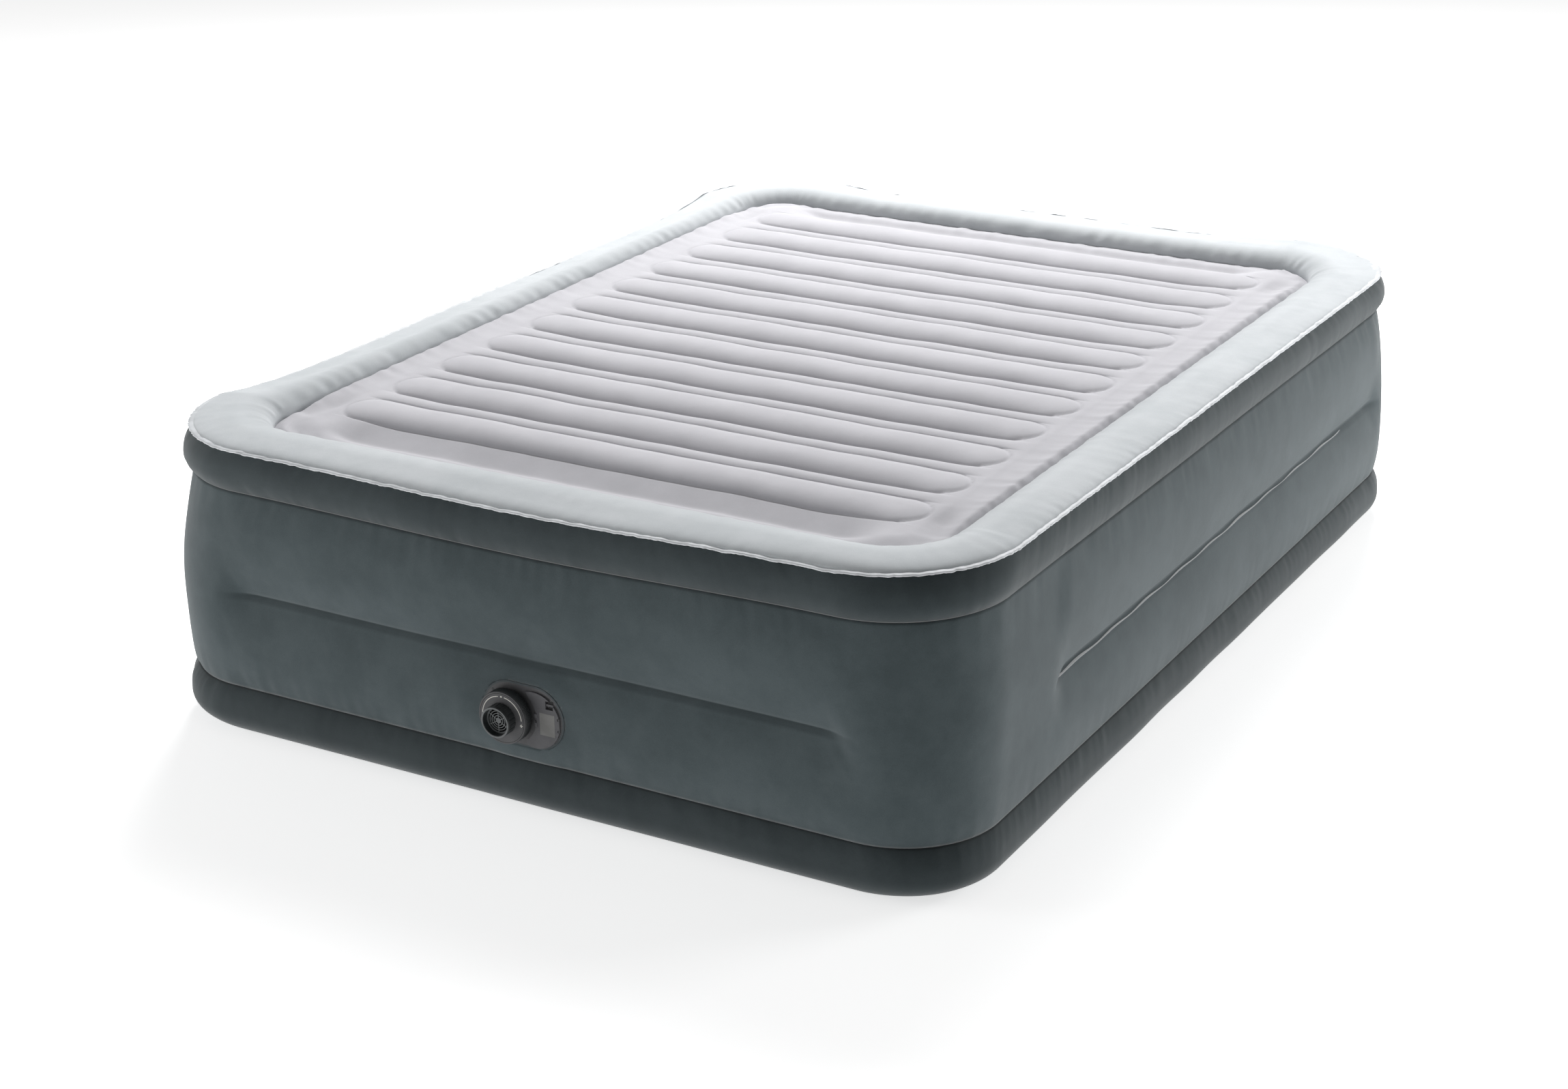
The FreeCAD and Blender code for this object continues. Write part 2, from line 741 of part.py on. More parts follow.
def dial():
    """A shallow cup with a hollow hub that is the air duct and turns in the face plate."""
    body = new_body("dial", True)
    front, wall = d.dial_front, d.dial_wall
    foot = d.plate_front + d.dial_gap
    shoulder = front - d.dial_band
    bore = d.hub_radius - wall
    collar_low = d.plate_front + 2 * d.seal_section + d.free_gap
    turn(body, "section", (bore, -hub_depth()), [
        ((d.hub_radius, -hub_depth()),), ((d.hub_radius, collar_low),),
        ((d.hub_radius + 6, collar_low),), ((d.hub_radius + 6, collar_low + wall),),
        ((d.hub_radius, collar_low + wall),), ((d.hub_radius, front - wall),),
        ((d.dial_radius - wall, front - wall),), ((d.dial_radius - wall, shoulder),),
        ((d.dial_foot_radius - wall, foot),), ((d.dial_foot_radius, foot),),
        ((d.dial_radius, shoulder),), ((d.dial_radius, front),),
        ((bore, front),), ((bore, -hub_depth()),)])
    return body


def hub_depth():
    return d.plate_thickness - d.plate_front + d.free_gap + d.retainer_thickness


def dial_seal():
    body = new_body("dial_seal", True)
    r, section = d.seal_radius, d.seal_section
    middle = d.plate_front + section
    sketch = ring(new_sketch(body, "section", "XZ_Plane"), r, middle, section)
    feature = body.newObject("PartDesign::Revolution", "seal_turn")
    feature.Profile = sketch
    feature.ReferenceAxis = (sketch, ["V_Axis"])
    feature.Angle = 360
    return body


def dial_retainer():
    """The clip ring on the hub behind the plate."""
    body = new_body("dial_retainer", True)
    tube(body, "ring", d.hub_radius, d.retainer_radius, -hub_depth(),
         d.retainer_thickness - hub_depth())
    return body


def nozzle():
    """The fluted mouth on the dial that takes air in or lets it out."""
    body = new_body("nozzle", True)
    low, high, lip = d.dial_front, d.dial_front + d.nozzle_length, d.dial_wall
    seat, floor = d.nozzle_bore - d.grille_ledge, high - d.grille_depth
    turn(body, "section", (seat, low), [
        ((d.nozzle_radius, low),), ((d.nozzle_radius, high - lip),),
        ((d.nozzle_radius - lip / 2, high),), ((d.nozzle_bore, high),), ((d.nozzle_bore, floor),),
        ((seat, floor),), ((seat, low),)])
    flute = ring(new_sketch(body, "flute", lift=low), d.nozzle_radius + d.flute_radius * 0.75, zero,
                 d.flute_radius)
    groove = cut(body, flute, d.nozzle_length - 2 * lip, True)
    around(body, [groove], d.flute_count)
    return body


def inlet_grille():
    """Round slots in rings between spokes, on a ledge inside the nozzle."""
    body = new_body("inlet_grille", True)
    high = d.dial_front + d.nozzle_length - d.grille_depth
    low = high - d.grille_thickness
    rim = d.nozzle_bore - d.grille_ledge
    pad(body, ring(new_sketch(body, "disc", lift=low), zero, zero, rim), d.grille_thickness)
    slots = new_sketch(body, "slots", lift=low)
    half = d.grille_bar / 2
    half_angle = math.pi / driving["grille_sectors"]
    # the slots of one sector, pinned by the bar half width at both spokes
    step = d.grille_slot + d.grille_bar
    for number in range(4):
        inner = rim - 2 * d.grille_bar - d.grille_slot - number * step
        outer = inner + d.grille_slot
        sector(slots, inner, outer, half, half_angle)
    groove = cut(body, slots, d.grille_thickness, True)
    around(body, [groove], d.grille_sectors)
    return body


def sector(sketch, inner, outer, half, half_angle):
    """A ring slot about the X axis whose ends run along the spokes, half a bar away from them."""
    cos, sin = math.cos(half_angle), math.sin(half_angle)

    def end(radius, side):
        run = root(radius * radius - half * half)
        return run * cos + half * sin, side * (run * sin - half * cos)

    draw(sketch, end(inner, -1), [
        (end(outer, -1),), ((outer, zero), end(outer, 1)), (end(inner, 1),),
        ((inner, zero), end(inner, -1))])


def air_diverter():
    """The drum under the dial that swaps blowing and sucking; a port in its side and a switch cam."""
    body = new_body("air_diverter", True)
    low, high, r = -d.diverter_end, -hub_depth(), d.hub_radius
    tube(body, "drum", r - d.dial_wall, r, low, high)
    port = new_sketch(body, "port", "YZ_Plane", r - 2 * d.dial_wall)
    half = d.diverter_port / 2
    middle = (low + high) / 2
    box(port, -half, middle - half / 2, half, middle + half / 2)
    cut(body, port, 3 * d.dial_wall, True)
    lobe = new_sketch(body, "cam", lift=low)
    draw(lobe, (-half, r - d.dial_wall / 2), [
        ((half, r - d.dial_wall / 2),), ((zero, r + d.dial_wall), (-half, r - d.dial_wall / 2))])
    pad(body, lobe, 2 * d.dial_wall)
    return body


def microswitch():
    """A small switch beside the drum, worked by the cam."""
    body = new_body("microswitch", True)
    low = -d.diverter_end
    near = d.hub_radius + d.dial_wall + d.free_gap
    block = box(new_sketch(body, "block", lift=low), as_size(-10), near + 1.5, as_size(10), near + 11.5)
    pad(body, block, 4 * d.dial_wall)
    button = box(new_sketch(body, "lever", lift=low + d.dial_wall), as_size(-9), near, as_size(5), near + 1.5)
    pad(body, button, 2 * d.dial_wall)
    post_low = low + 4 * d.dial_wall
    post = box(new_sketch(body, "post", lift=post_low), as_size(-4), near + 4, as_size(4), near + 9)
    pad(body, post, d.plate_front - d.plate_thickness - post_low)
    return body


def screw_spots():
    """Two screws beside each round end of the case."""
    reach = (d.collar_radius - d.collar_wall - d.housing_wall - d.screw_radius) * diagonal
    return [(x, side * reach) for side in (-1, 1) for x in (-reach, d.case_spacing + reach)]


def plate_screws():
    """Four screws from the face plate into the housing, as one group of separate solids."""
    feature = doc.addObject("Part::Feature", "plate_screws")
    feature.Label = "plate_screws"
    front, radius = driving["plate_front"], driving["screw_radius"]
    head = driving["screw_head_height"]
    solids = []
    for x, y in screw_spots():
        top = Vector(x.value, y.value, front)
        down = Vector(0, 0, -1)
        shank = Part.makeCylinder(radius, driving["screw_length"], top, down)
        solids.append(shank.fuse(Part.makeCylinder(2 * radius, head, top, down)))
    feature.Shape = Part.makeCompound(solids)
    feature.Placement = pump_frame()
    return feature


# ---- fan and motor ----

def fan_cover():
    body = new_body("fan_cover", True)
    tube(body, "plate", d.inlet_radius, d.casing_radius, -(d.casing_front + d.casing_wall), -d.casing_front)
    return body


def fan_casing():
    """A cup behind the cover with a window that blows towards the one-way valve."""
    body = new_body("fan_casing", True)
    back, front, wall = -d.casing_back, -(d.casing_front + d.casing_wall), d.casing_wall
    turn(body, "section", (d.bush_radius, back), [
        ((d.casing_radius, back),), ((d.casing_radius, front),), ((d.casing_radius - wall, front),),
        ((d.casing_radius - wall, back + wall),), ((d.bush_radius, back + wall),), ((d.bush_radius, back),)])
    window = new_sketch(body, "window", "YZ_Plane", d.casing_radius - 3 * wall)
    box(window, -d.inlet_radius, back + 2 * wall, d.inlet_radius, front)
    cut(body, window, 4 * wall, True)
    return body


def impeller_back():
    return -(d.casing_back - d.casing_wall - 1)


def impeller():
    body = new_body("impeller", True)
    low = impeller_back()
    high = low + d.impeller_height
    plate = d.blade_thickness
    tube(body, "disc", d.shaft_radius, d.impeller_radius, low, low + plate)
    tube(body, "hub", d.shaft_radius, d.impeller_hub, low + plate / 2, high)
    blade = new_sketch(body, "blade", lift=low + plate / 2)
    box(blade, d.impeller_hub - 0.5, -plate / 2, d.impeller_radius - 0.5, plate / 2)
    vane = pad(body, blade, d.impeller_height - plate)
    around(body, [vane], d.blade_count)
    return body


def motor_front():
    return -d.casing_back


def motor_can():
    """The motor's case, closed but for the two bush seats."""
    body = new_body("motor_can", True)
    front = motor_front()
    back = front - d.motor_length
    wall = d.casing_wall
    turn(body, "section", (d.bush_radius, back), [
        ((d.motor_radius, back),), ((d.motor_radius, front),), ((d.bush_radius, front),),
        ((d.bush_radius, front - d.bush_length),), ((d.motor_radius - wall, front - d.bush_length),),
        ((d.motor_radius - wall, back + d.bush_length),), ((d.bush_radius, back + d.bush_length),),
        ((d.bush_radius, back),)])
    return body


def motor_bush(label, low):
    body = new_body(label, True)
    tube(body, "bush", d.shaft_radius + d.running_gap, d.bush_radius, low, low + d.bush_length)
    return body


def motor_shaft():
    body = new_body("motor_shaft", True)
    low = motor_front() - d.motor_length - 2
    pad(body, ring(new_sketch(body, "section", lift=low), zero, zero, d.shaft_radius),
        impeller_back() + d.impeller_height - low)
    return body


def motor_rotor():
    """The wound armature on the shaft."""
    body = new_body("motor_rotor", True)
    low = motor_front() - d.motor_length + d.bush_length + 4
    tube(body, "core", d.shaft_radius, d.motor_radius - 3 * d.casing_wall, low,
         low + d.motor_length - 2 * d.bush_length - 8)
    return body


def motor_cradle():
    """A ring round the motor with two arms to the housing's flat sides."""
    body = new_body("motor_cradle", True)
    middle = motor_front() - d.motor_length / 2
    low = middle - d.cradle_width / 2
    outer = d.motor_radius + d.cradle_wall
    tube(body, "ring", d.motor_radius, outer, low, low + d.cradle_width)
    reach = d.collar_radius - d.collar_wall - d.housing_wall
    for name, side in (("arm_low", -1), ("arm_high", 1)):
        arm = new_sketch(body, name, lift=low)
        box(arm, zero, side * (outer - 1), d.cradle_width, side * reach)
        pad(body, arm, d.cradle_width)
    return body


# ---- one-way valve ----

def valve_guide():
    """A hub on three spokes in the port, which carries the stem."""
    body = new_body("valve_guide", True)
    low, high = -d.housing_depth, d.housing_back - d.housing_depth
    hub = d.stem_radius + d.running_gap
    x = d.valve_x
    rim = ring(ring(new_sketch(body, "rim", lift=low), x, zero, d.port_radius), x, zero, d.port_radius - 1.5)
    pad(body, rim, high - low)
    spoke = new_sketch(body, "spoke", lift=low)
    box(spoke, x - d.port_radius + 0.5, as_size(-1), x + d.port_radius - 0.5, as_size(1))
    pad(body, spoke, high - low)
    cross = new_sketch(body, "cross", lift=low)
    box(cross, x - 1, -d.port_radius + 0.5, x + 1, d.port_radius - 0.5)
    pad(body, cross, high - low)
    boss = ring(new_sketch(body, "boss", lift=low), x, zero, d.stem_radius * 2)
    pad(body, boss, (high - low) * 2)
    bore = ring(new_sketch(body, "bore", lift=low), x, zero, hub)
    cut(body, bore, (high - low) * 2, True)
    return body


def valve_disc():
    """The disc outside the port, its stem and the head that the spring pushes on."""
    body = new_body("valve_disc", True)
    face = -d.housing_depth - d.free_gap
    x = d.valve_x
    low = face - d.valve_disc_thickness
    pad(body, ring(new_sketch(body, "disc", lift=low), x, zero, d.valve_disc_radius), d.valve_disc_thickness)
    pad(body, ring(new_sketch(body, "stem", lift=low), x, zero, d.stem_radius), d.stem_length)
    head = ring(new_sketch(body, "head", lift=low + d.stem_length), x, zero, d.spring_radius + 1)
    pad(body, head, as_size(2))
    return body


def valve_spring():
    """A coil between the guide's boss and the stem's head."""
    feature = doc.addObject("Part::Feature", "valve_spring")
    feature.Label = "valve_spring"
    low = -driving["housing_depth"] + 2 * driving["housing_back"]
    high = (-driving["housing_depth"] - driving["free_gap"] - driving["valve_disc_thickness"]
            + driving["stem_length"])
    wire, radius = driving["spring_wire"], driving["spring_radius"] - driving["spring_wire"]
    length = high - low - 2 * wire - 2 * driving["running_gap"]
    path = Part.makeHelix(length / driving["spring_turns"], length, radius)
    section = Part.Wire(Part.makeCircle(wire, Vector(radius, 0, 0), Vector(0, 1, 0)))
    feature.Shape = Part.Wire(path.Edges).makePipeShell([section], True, True)
    seat = Vector(driving["valve_x"], 0, low + wire + driving["running_gap"])
    feature.Placement = pump_frame() * FreeCAD.Placement(seat, FreeCAD.Rotation())
    return feature


# ---- build, check and write ----

def build():
    for make in (bottom_sheet, lower_band, main_wall, upper_band, rim_flange, border_tube, waist_sheet,
                 tie_beams, pump_collar, pump_housing, face_plate, lid_pin, lid, lid_catch, cord_tray,
                 cord_gland, dial, dial_seal, dial_retainer, nozzle, inlet_grille, air_diverter,
                 microswitch, fan_cover, fan_casing, plate_screws, impeller, motor_can, motor_shaft,
                 motor_rotor, motor_cradle, valve_guide, valve_disc, valve_spring, top_panel):
        make()
        doc.recompute()
    motor_bush("motor_bush_front", motor_front() - d.bush_length)
    motor_bush("motor_bush_rear", motor_front() - d.motor_length)
    doc.recompute()


def check_and_write():
    failed = [thing.Label for thing in doc.Objects if "Invalid" in thing.State or "Error" in thing.State]
    pieces = [thing for thing in doc.Objects if thing.TypeId in ("PartDesign::Body", "Part::Feature")]
    failed += [piece.Label for piece in pieces if piece.Shape.isNull() or not piece.Shape.isValid()]
    if failed:
        raise RuntimeError("failed: " + ", ".join(failed))
    os.makedirs("parts", exist_ok=True)
    for piece in pieces:
        piece.Shape.exportStep(f"parts/{piece.Label}.step")
    print(len(pieces), "pieces written")


build()
check_and_write()
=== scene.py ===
import bpy
import math
import numpy as np
from mathutils import Matrix, Vector


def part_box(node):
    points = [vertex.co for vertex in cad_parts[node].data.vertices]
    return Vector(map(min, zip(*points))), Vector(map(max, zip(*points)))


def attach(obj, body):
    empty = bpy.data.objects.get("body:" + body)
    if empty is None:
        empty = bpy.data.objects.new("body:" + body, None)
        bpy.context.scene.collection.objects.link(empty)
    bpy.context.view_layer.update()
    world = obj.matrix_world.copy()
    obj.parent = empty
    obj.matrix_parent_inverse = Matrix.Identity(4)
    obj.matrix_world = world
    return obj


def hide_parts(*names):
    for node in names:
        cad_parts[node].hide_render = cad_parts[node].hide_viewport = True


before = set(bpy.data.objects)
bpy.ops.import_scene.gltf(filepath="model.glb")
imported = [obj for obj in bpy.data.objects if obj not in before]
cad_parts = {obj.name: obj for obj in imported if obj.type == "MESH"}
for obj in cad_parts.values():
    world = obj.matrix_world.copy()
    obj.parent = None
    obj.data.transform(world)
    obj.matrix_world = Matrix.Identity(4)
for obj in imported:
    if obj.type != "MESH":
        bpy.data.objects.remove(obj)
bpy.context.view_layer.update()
scene = bpy.context.scene
print("frame loaded:", len(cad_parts), "nodes")

camSetup = {
    "place": (2.344, -4.247, 2.033),
    "azimuth": 29.95,      # degrees, the camera stands to +X and -Y
    "down": 21.66,
    "roll": -0.64,
    "lens": 63.83,
}


def addCamera(cfg):
    az, el, roll = (math.radians(cfg[k]) for k in ("azimuth", "down", "roll"))
    forward = Vector((-math.sin(az) * math.cos(el), math.cos(az) * math.cos(el), -math.sin(el)))
    right = forward.cross(Vector((0, 0, 1))).normalized()
    up = right.cross(forward)
    turnedRight = right * math.cos(roll) + up * math.sin(roll)
    turnedUp = up * math.cos(roll) - right * math.sin(roll)
    camera = bpy.data.objects.new("camera", bpy.data.cameras.new("camera"))
    scene.collection.objects.link(camera)
    basis = Matrix((turnedRight, turnedUp, -forward)).transposed().to_4x4()
    camera.matrix_world = Matrix.Translation(cfg["place"]) @ basis
    camera.data.lens = cfg["lens"]
    camera.data.sensor_width = 36
    camera.data.dof.use_dof = False
    scene.camera = camera


lightSetup = {
    "world": 0.22,
    "areas": [   # name, place, aim, size, power, colour
        ("overhead", (-1.3, 2.9, 3.3), (0, 0.2, 0.4), 3.0, 262, (1.0, 1.0, 1.0)),
        ("rightBack", (4.4, 4.2, 1.5), (0.7, 0.5, 0.3), 2.4, 165, (1.0, 1.0, 1.0)),
        ("leftFront", (-4.6, -3.4, 1.2), (-0.4, -1.0, 0.25), 2.2, 80, (1.0, 1.0, 1.0)),
    ],
    "floorGlow": 0.64,
}


def addLights(cfg):
    world = bpy.data.worlds.new("softRoom")
    world.use_nodes = True
    world.node_tree.nodes["Background"].inputs["Color"].default_value = (1, 1, 1, 1)
    world.node_tree.nodes["Background"].inputs["Strength"].default_value = cfg["world"]
    scene.world = world
    for name, place, aim, size, power, colour in cfg["areas"]:
        data = bpy.data.lights.new(name, "AREA")
        data.shape = "SQUARE"
        data.size = size
        data.energy = power
        data.color = colour
        lamp = bpy.data.objects.new(name, data)
        scene.collection.objects.link(lamp)
        lamp.location = place
        lamp.rotation_euler = (Vector(aim) - Vector(place)).to_track_quat("-Z", "Y").to_euler()


class Sock:
    # a node socket that can be used in arithmetic
    def __init__(self, shader, socket):
        self.shader = shader
        self.socket = socket

    def math(self, operation, first, second):
        return self.shader.node("ShaderNodeMath", {"operation": operation}, {0: first, 1: second})

    def __add__(self, other):
        return self.math("ADD", self, other)

    def __mul__(self, other):
        return self.math("MULTIPLY", self, other)

    __radd__ = __add__
    __rmul__ = __mul__


class Shader:
    def __init__(self, name, **constants):
        self.material = bpy.data.materials.new(name)
        self.material.use_nodes = True
        self.tree = self.material.node_tree
        self.surface = self.tree.nodes["Principled BSDF"]
        for key, value in constants.items():
            self.surface.inputs[spaced(key)].default_value = value
        self.place = self.node("ShaderNodeTexCoord", output="Object")

    def node(self, kind, settings=None, inputs=None, output=0):
        made = self.tree.nodes.new(kind)
        for key, value in (settings or {}).items():
            if key == "stops":
                ramp = made.color_ramp
                while len(ramp.elements) < len(value):
                    ramp.elements.new(0.5)
                for element, (spot, colour) in zip(ramp.elements, value):
                    element.position = spot
                    element.color = colour
            else:
                setattr(made, key, value)
        for key, value in (inputs or {}).items():
            if isinstance(value, Sock):
                self.tree.links.new(value.socket, made.inputs[key])
            else:
                made.inputs[key].default_value = value
        return Sock(self, made.outputs[output])

    def noise(self, scale, detail=2.0, rough=0.5, stretch=(1, 1, 1)):
        spot = self.place
        if stretch != (1, 1, 1):
            spot = self.node("ShaderNodeMapping", {}, {"Vector": self.place, "Scale": stretch})
        return self.node("ShaderNodeTexNoise", {}, {
            "Vector": spot, "Scale": scale, "Detail": detail, "Roughness": rough})

    def ramp(self, value, low, high):
        return self.node("ShaderNodeMapRange", {"interpolation_type": "SMOOTHSTEP"}, {
            "Value": value, "From Min": low, "From Max": high})

    def blend(self, amount, first, second, kind="MIX"):
        return self.node("ShaderNodeMix", {"data_type": "RGBA", "blend_type": kind},
                         {0: amount, 6: first, 7: second}, 2)

    def feed(self, name, value):
        self.tree.links.new(value.socket, self.surface.inputs[name])

    def bump(self, height, distance, strength=1.0, under=None):
        inputs = {"Height": height, "Distance": distance, "Strength": strength}
        if under is not None:
            inputs["Normal"] = under
        return self.node("ShaderNodeBump", {}, inputs)


def spaced(key):
    # sheenWeight -> Sheen Weight
    words = "".join(" " + c if c.isupper() else c for c in key)
    return {"specular": "Specular IOR Level"}.get(key, words[0].upper() + words[1:])


def rgb(red, green, blue):
    # screen colour 0..255 to linear
    def lin(c):
        c = c / 255
        return c / 12.92 if c <= 0.04045 else ((c + 0.055) / 1.055) ** 2.4
    return (lin(red), lin(green), lin(blue), 1.0)


flockSetup = {
    "cloudScale": 5.0, "patchScale": 22.0, "fibreScale": 650.0, "speckScale": 1400.0,
    "fibreBump": 0.00035, "patchBump": 0.0012,
}


def flock(name, dark, light, sheen, speck=0.10, cfg=flockSetup):
    # short pile on vinyl: cloudy brushed patches, fine fibres and a soft sheen at grazing angles;
    # the mesh's per-point attribute, read below, multiplies in painted light and shade: darker in folds,
    # grooves and creases and on sides turned from the lamps, lighter low on the wall's lobes
    s = Shader(name, sheenWeight=sheen, sheenRoughness=0.45, specular=0.18)
    cloud = s.noise(cfg["cloudScale"], 5.0, 0.62)
    patch = s.noise(cfg["patchScale"], 4.0, 0.6)
    fibre = s.noise(cfg["fibreScale"], 3.0, 0.7)
    grain = s.noise(cfg["speckScale"], 1.0, 0.5)
    mix = s.ramp(cloud * 0.6 + patch * 0.4, 0.34, 0.66)
    base = s.blend(mix, dark, light)
    fine = s.ramp(fibre * 0.6 + grain * 0.4, 0.32, 0.68)
    shade = s.blend(fine, (1 - speck, 1 - speck, 1 - speck, 1), (1 + speck, 1 + speck, 1 + speck, 1))
    # painted light and shade from the mesh's per-point attribute multiplies the base colour
    nap = s.node("ShaderNodeAttribute", {"attribute_name": "nap"}, output="Color")
    s.feed("Base Color", s.blend(1.0, s.blend(1.0, base, shade, "MULTIPLY"), nap, "MULTIPLY"))
    s.feed("Roughness", 0.78 + 0.14 * fine)
    soft = s.bump(patch, cfg["patchBump"], 0.35)
    s.feed("Normal", s.bump(fibre * 0.7 + grain * 0.3, cfg["fibreBump"], 0.6, soft))
    return s.material


def plastic(name, colour, rough=0.42, grain=0.25, grainScale=1500.0, worn=None):
    # moulded plastic with a fine spark-eroded texture and slight unevenness of gloss
    s = Shader(name, specular=0.5)
    wide = s.noise(40.0, 3.0)
    fine = s.noise(grainScale, 2.0, 0.6)
    tint = s.blend(s.ramp(wide, 0.35, 0.65), tuple(0.9 * c for c in colour[:3]) + (1,),
                   tuple(1.08 * c for c in colour[:3]) + (1,))
    s.feed("Base Color", tint)
    s.feed("Roughness", rough + 0.12 * fine)
    s.feed("Normal", s.bump(fine, 0.00012, grain))
    return s.material


def metal(name, colour, rough):
    s = Shader(name, metallic=1.0)
    streak = s.noise(300.0, 3.0, 0.6, (1, 0.05, 1))
    s.feed("Base Color", s.blend(streak, colour, tuple(0.8 * c for c in colour[:3]) + (1,)))
    s.feed("Roughness", rough + 0.15 * streak)
    s.feed("Normal", s.bump(streak, 0.00005, 0.3))
    return s.material


def weave(name, colour):
    # fibre-reinforced sheet: a faint scrim of threads under clear vinyl
    s = Shader(name, specular=0.4)
    lines = [s.node("ShaderNodeTexWave", {"bands_direction": axis, "wave_profile": "SIN"},
                    {"Vector": s.place, "Scale": 120.0}, 1) for axis in ("X", "Y", "Z")]
    net = (lines[0] + lines[1] + lines[2]) * 0.333
    s.feed("Base Color", s.blend(net, tuple(0.8 * c for c in colour[:3]) + (1,), colour))
    s.feed("Roughness", 0.45 + 0.2 * net)
    s.feed("Normal", s.bump(net, 0.0002, 0.5))
    return s.material


def makeMaterials():
    return {
        "wallFlock": flock("wallFlock", rgb(69, 79, 82), rgb(79, 89, 92), 0.30),
        "topFlock": flock("topFlock", rgb(198, 197, 202), rgb(205, 204, 209), 0.15, 0.03),
        "borderFlock": flock("borderFlock", rgb(202, 207, 210), rgb(213, 217, 220), 0.2, 0.04),
        "weldEdge": plastic("weldEdge", rgb(222, 225, 228), 0.5, 0.2, 500.0),
        "baseVinyl": plastic("baseVinyl", rgb(62, 68, 70), 0.5, 0.4, 300.0),
        "tieSheet": weave("tieSheet", rgb(205, 206, 208)),
        "pumpGrey": plastic("pumpGrey", rgb(78, 78, 80), 0.38),
        "collarVinyl": plastic("collarVinyl", rgb(66, 74, 77), 0.55),
        "lidGrey": plastic("lidGrey", rgb(84, 84, 87), 0.42),
        "nozzleBlack": plastic("nozzleBlack", rgb(44, 47, 48), 0.35),
        "grilleGrey": plastic("grilleGrey", rgb(104, 107, 108), 0.45),
        "markWhite": plastic("markWhite", rgb(226, 224, 216), 0.5),
        "labelGrey": plastic("labelGrey", rgb(118, 118, 116), 0.5),
        "sealRubber": plastic("sealRubber", rgb(24, 24, 25), 0.6),
        "innerPlastic": plastic("innerPlastic", rgb(50, 51, 53), 0.45),
        "steel": metal("steel", (0.56, 0.56, 0.58, 1), 0.28),
        "bronze": metal("bronze", (0.62, 0.4, 0.18, 1), 0.35),
    }


def gridFaces(rows, cols, closeRows=False, closeCols=False):
    # quads of a rows x cols grid, as an index array
    i = np.arange(rows if closeRows else rows - 1)[:, None]
    j = np.arange(cols if closeCols else cols - 1)[None, :]
    nextI, nextJ = (i + 1) % rows, (j + 1) % cols
    quads = np.stack([i * cols + j, i * cols + nextJ, nextI * cols + nextJ, nextI * cols + j], -1)
    return quads.reshape(-1, 4)


def addMesh(name, points, quads, material, thickness=0.0, smooth=True, nap=None):
    mesh = bpy.data.meshes.new(name)
    points = np.asarray(points, dtype=np.float32).reshape(-1, 3)
    quads = np.asarray(quads, dtype=np.int32)
    mesh.vertices.add(len(points))
    mesh.vertices.foreach_set("co", points.ravel())
    mesh.loops.add(quads.size)
    mesh.loops.foreach_set("vertex_index", quads.ravel())
    mesh.polygons.add(len(quads))
    mesh.polygons.foreach_set("loop_start", np.arange(0, quads.size, quads.shape[1], dtype=np.int32))
    mesh.update(calc_edges=True)
    # the per-point painted light and shade, stored as a mesh attribute for the flock material
    if nap is not None:
        shade = mesh.attributes.new("nap", "FLOAT", "POINT")
        shade.data.foreach_set("value", np.ravel(nap).astype(np.float32))
    mesh.validate()
    mesh.polygons.foreach_set("use_smooth", np.full(len(mesh.polygons), smooth))
    mesh.materials.append(material)
    piece = bpy.data.objects.new(name, mesh)
    scene.collection.objects.link(piece)
    if thickness:
        wall = piece.modifiers.new("wall", "SOLIDIFY")
        wall.thickness = thickness
        wall.offset = -1.0
    return piece


def smoothStep(value, low, high):
    t = np.clip((value - low) / (high - low), 0, 1)
    return t * t * (3 - 2 * t)


def ripples(along, seed, waves, count=14):
    # a repeatable sum of sines along a length, wavelengths spread between the two given
    draw = np.random.default_rng(seed)
    longest, shortest = waves
    lengths = shortest * (longest / shortest) ** draw.random(count)
    phases = draw.random(count) * 2 * np.pi
    total = sum(np.sin(2 * np.pi * along / w + p) for w, p in zip(lengths, phases))
    return total / math.sqrt(count)


def swell(points, seed, waves, count=12):
    # the same in space: plane waves in seeded directions, about -1.5 to 1.5
    draw = np.random.default_rng(seed)
    longest, shortest = waves
    total = 0
    for _ in range(count):
        way = draw.normal(size=3)
        way /= np.linalg.norm(way)
        length = shortest * (longest / shortest) ** draw.random()
        total = total + np.sin(2 * np.pi * (points @ way) / length + draw.random() * 6.283)
    return total / math.sqrt(count)


rimLow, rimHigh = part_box("rim_flange")
halfX = rimHigh[0] - 0.002
halfY = rimHigh[1] - 0.002
rimZ = (rimLow[2] + rimHigh[2]) / 2
wallLow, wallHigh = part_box("main_wall")
lowSeamZ, highSeamZ = wallLow[2], wallHigh[2]
creaseZ = sum(p[2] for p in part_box("waist_sheet")) / 2
pumpLow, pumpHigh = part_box("pump_collar")
dialLow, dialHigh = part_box("dial")
dialX, pumpZ = (dialLow[0] + dialHigh[0]) / 2, (dialLow[2] + dialHigh[2]) / 2

skinThick = 0.0012     # flocked skins and the base
tieThick = 0.0005      # inner sheets
sideBand = 0.03        # how far in from the rim line still counts as a side

outlineSetup = {
    "rimCorner": 0.222, "highCorner": 0.19, "lowCorner": 0.160, "floorCorner": 0.15,
    "endSag": 0.011, "sideSag": 0.005, "farSideSag": 0.022, "farEndSag": 0.012,
    "backDrop": 0.010, "leftDrop": 0.005,
}


